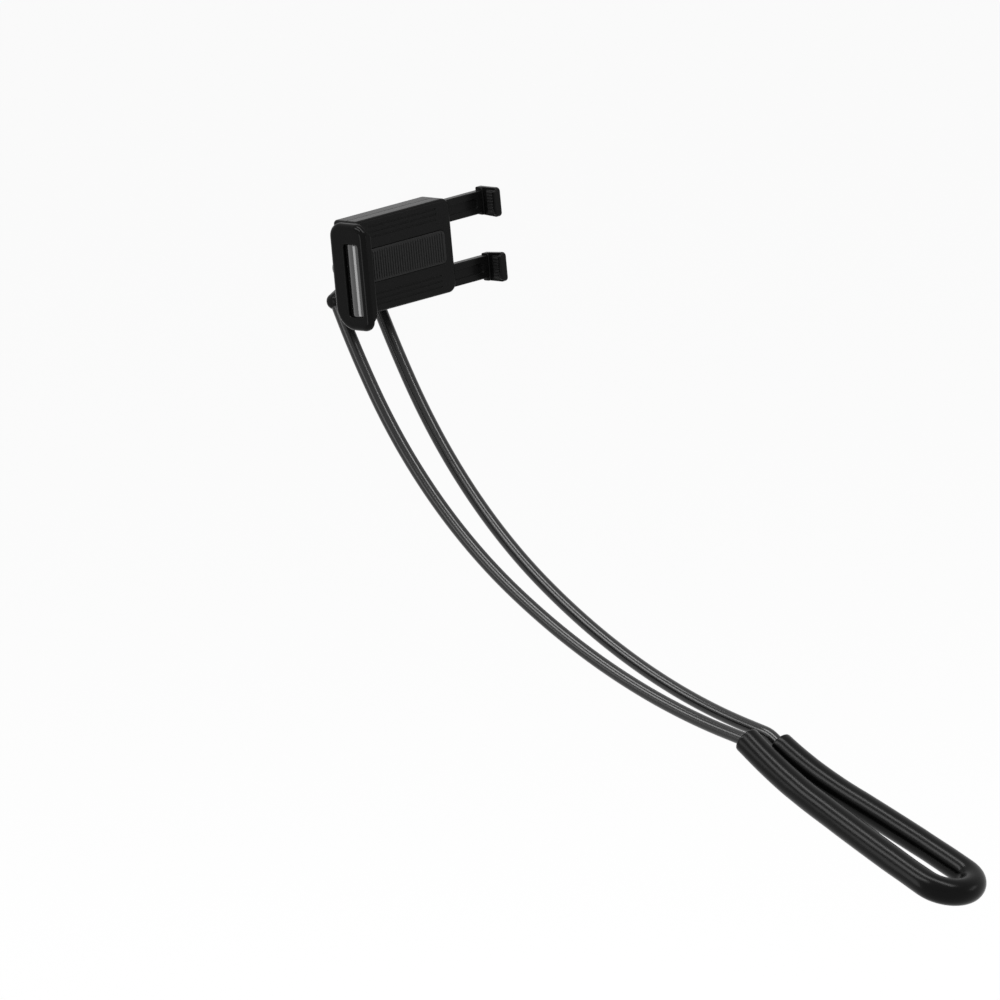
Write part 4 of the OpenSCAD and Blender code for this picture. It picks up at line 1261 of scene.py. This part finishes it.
def blade(top, turn, place):
    """A tapered cutter across the screw's head: its half size at three levels down to the recess."""
    levels = np.array([[1.12, top + 0.5], [1.0, top], [0.45, top - RECESS]])
    flat = np.array([[-1, -1], [1, -1], [1, 1], [-1, 1]]) * BLADE_HALF[[turn, 1 - turn]]
    heights = np.broadcast_to(levels[:, 1][:, None, None], (3, 4, 1))
    return skin("blade", np.concatenate([flat[None] * levels[:, :1, None], heights], -1), place)


def screw(length, place):
    """A screw whose shank starts at the origin and runs along +z, with the head beyond the length."""
    top = length + HEAD_T
    drop = CROWN_R - math.sqrt(CROWN_R**2 - HEAD_R**2)
    side = math.degrees(math.asin((HEAD_R - 0.3) / CROWN_R))
    head_profile = profile(
        [(0.02, 0), (SHANK_R - 0.4, 0), (SHANK_R, 0.5), (SHANK_R, length), (HEAD_R, length)],
        [(HEAD_R, top - drop - 0.35)],
        arc((0, top - CROWN_R), CROWN_R, 90 - side, 89.9, 8),
    )
    body = turned("screw", head_profile, place, axis=2, sides=40)
    return cut(body, blade(top, 0, place), blade(top, 1, place))


print("screw head:", 2 * HEAD_R, "mm wide")

# %% [markdown]
# Five screws hold the body, three the yoke and two the jaw. Copies that share one mesh would be lighter,
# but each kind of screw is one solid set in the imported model, so its screws are joined into one piece.

# %% Sets of screws


def screw_set(name, length, places, body, node):
    """One piece with all screws of a kind."""
    screws = join(name, *[screw(length, place) for place in places])
    dress(screws, SCREW_STEEL, body, [node])
    print(name, "has", len(places), "screws")


def about(turn):
    """A direction across the screw, turned by some degrees, because no two screws stop alike."""
    return math.cos(math.radians(turn)), math.sin(math.radians(turn))


cover_places = [
    moved(in_clamp, (x, 14, z), (about(turn)[0], 0, about(turn)[1]), (0, 1, 0))
    for (x, z), turn in zip(SCREW_SPOTS, (20, 75, 48, 5, 62))
]
yoke_places = [
    moved(in_yoke, (x, y, 5.5), (*about(turn), 0), (0, 0, -1))
    for (x, y), turn in zip(YOKE_SCREWS, (30, 66, 11))
]
jaw_places = [
    moved(in_clamp, (-57.8, 29.5, z), (0, *about(turn)), (1, 0, 0)) for z, turn in ((22, 15), (-22, 50))
]
screw_set("cover_screw_set", 20, cover_places, "clamp", "cover_screws")
screw_set("yoke_screw_set", 11, yoke_places, "neck", "yoke_screws")
screw_set("jaw_screw_set", 6.2, jaw_places, "clamp", "jaw_screws")

# %% [markdown]
# Two extension springs pull the carriage in. Each is a wire along a helix, whose coils lie closer near
# both ends. The springs join the clamp and the carriage. A Screw modifier would make even coils, so each
# spring is a plain mesh.

# %% Springs
SPRING_X = (-43.8, 6.7)
SPRING_Y, SPRING_Z, SPRING_R, WIRE_R = 16.5, 9.0, 2.6, 0.38
CLOSE_UP = 0.308


def spring_path(coils=22, steps=20):
    """Helix along x: the turn grows evenly, and the advance is slower near both ends."""
    t = np.linspace(0, 1, coils * steps)
    angle = 2 * math.pi * coils * t
    along = (1 - CLOSE_UP) * t + CLOSE_UP * ease(t)
    x = SPRING_X[0] + WIRE_R + (SPRING_X[1] - SPRING_X[0] - 2 * WIRE_R) * along
    return np.stack([x, SPRING_R * np.cos(angle), SPRING_R * np.sin(angle)], 1)


wire_side = np.array([0.0, 1.0, 0.2])
for side, node in ((1, "spring_upper"), (-1, "spring_lower")):
    path = spring_path() + np.array([0, SPRING_Y, side * SPRING_Z])
    spring = skin(f"{node}_coil", tube_rings(path, WIRE_R, 8, wire_side), in_clamp)
    dress(spring, BRIGHT_STEEL, None, [node])
    ends = in_clamp([[x, SPRING_Y, side * SPRING_Z] for x in SPRING_X])
    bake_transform(spring)
print("two springs")

# %% [markdown]
# The solids that need no new shape, the springs' pins and the ball's liner, keep their own mesh and only
# get a finish. The others, which the pieces above stand for, get the finish of their slot as well.

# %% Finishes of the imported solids
NODE_FINISHES = {
    "gloss_plastic": GLOSS_BLACK,
    "soft_pad": PAD_RUBBER,
    "rubber_sheath": SHEATH_RUBBER,
    "foam": FOAM_SKIN,
    "core_metal": CORE_METAL,
    "screw_steel": SCREW_STEEL,
    "bright_steel": BRIGHT_STEEL,
    "liner_plastic": LINER_PLASTIC,
}
for row in frame["record"]["subparts"]:
    node = frame["nodes"][row["node"]]
    node.data.materials.clear()
    node.data.materials.append(NODE_FINISHES[row["material_slot"]])
print("finishes on", len(frame["nodes"]), "solids")
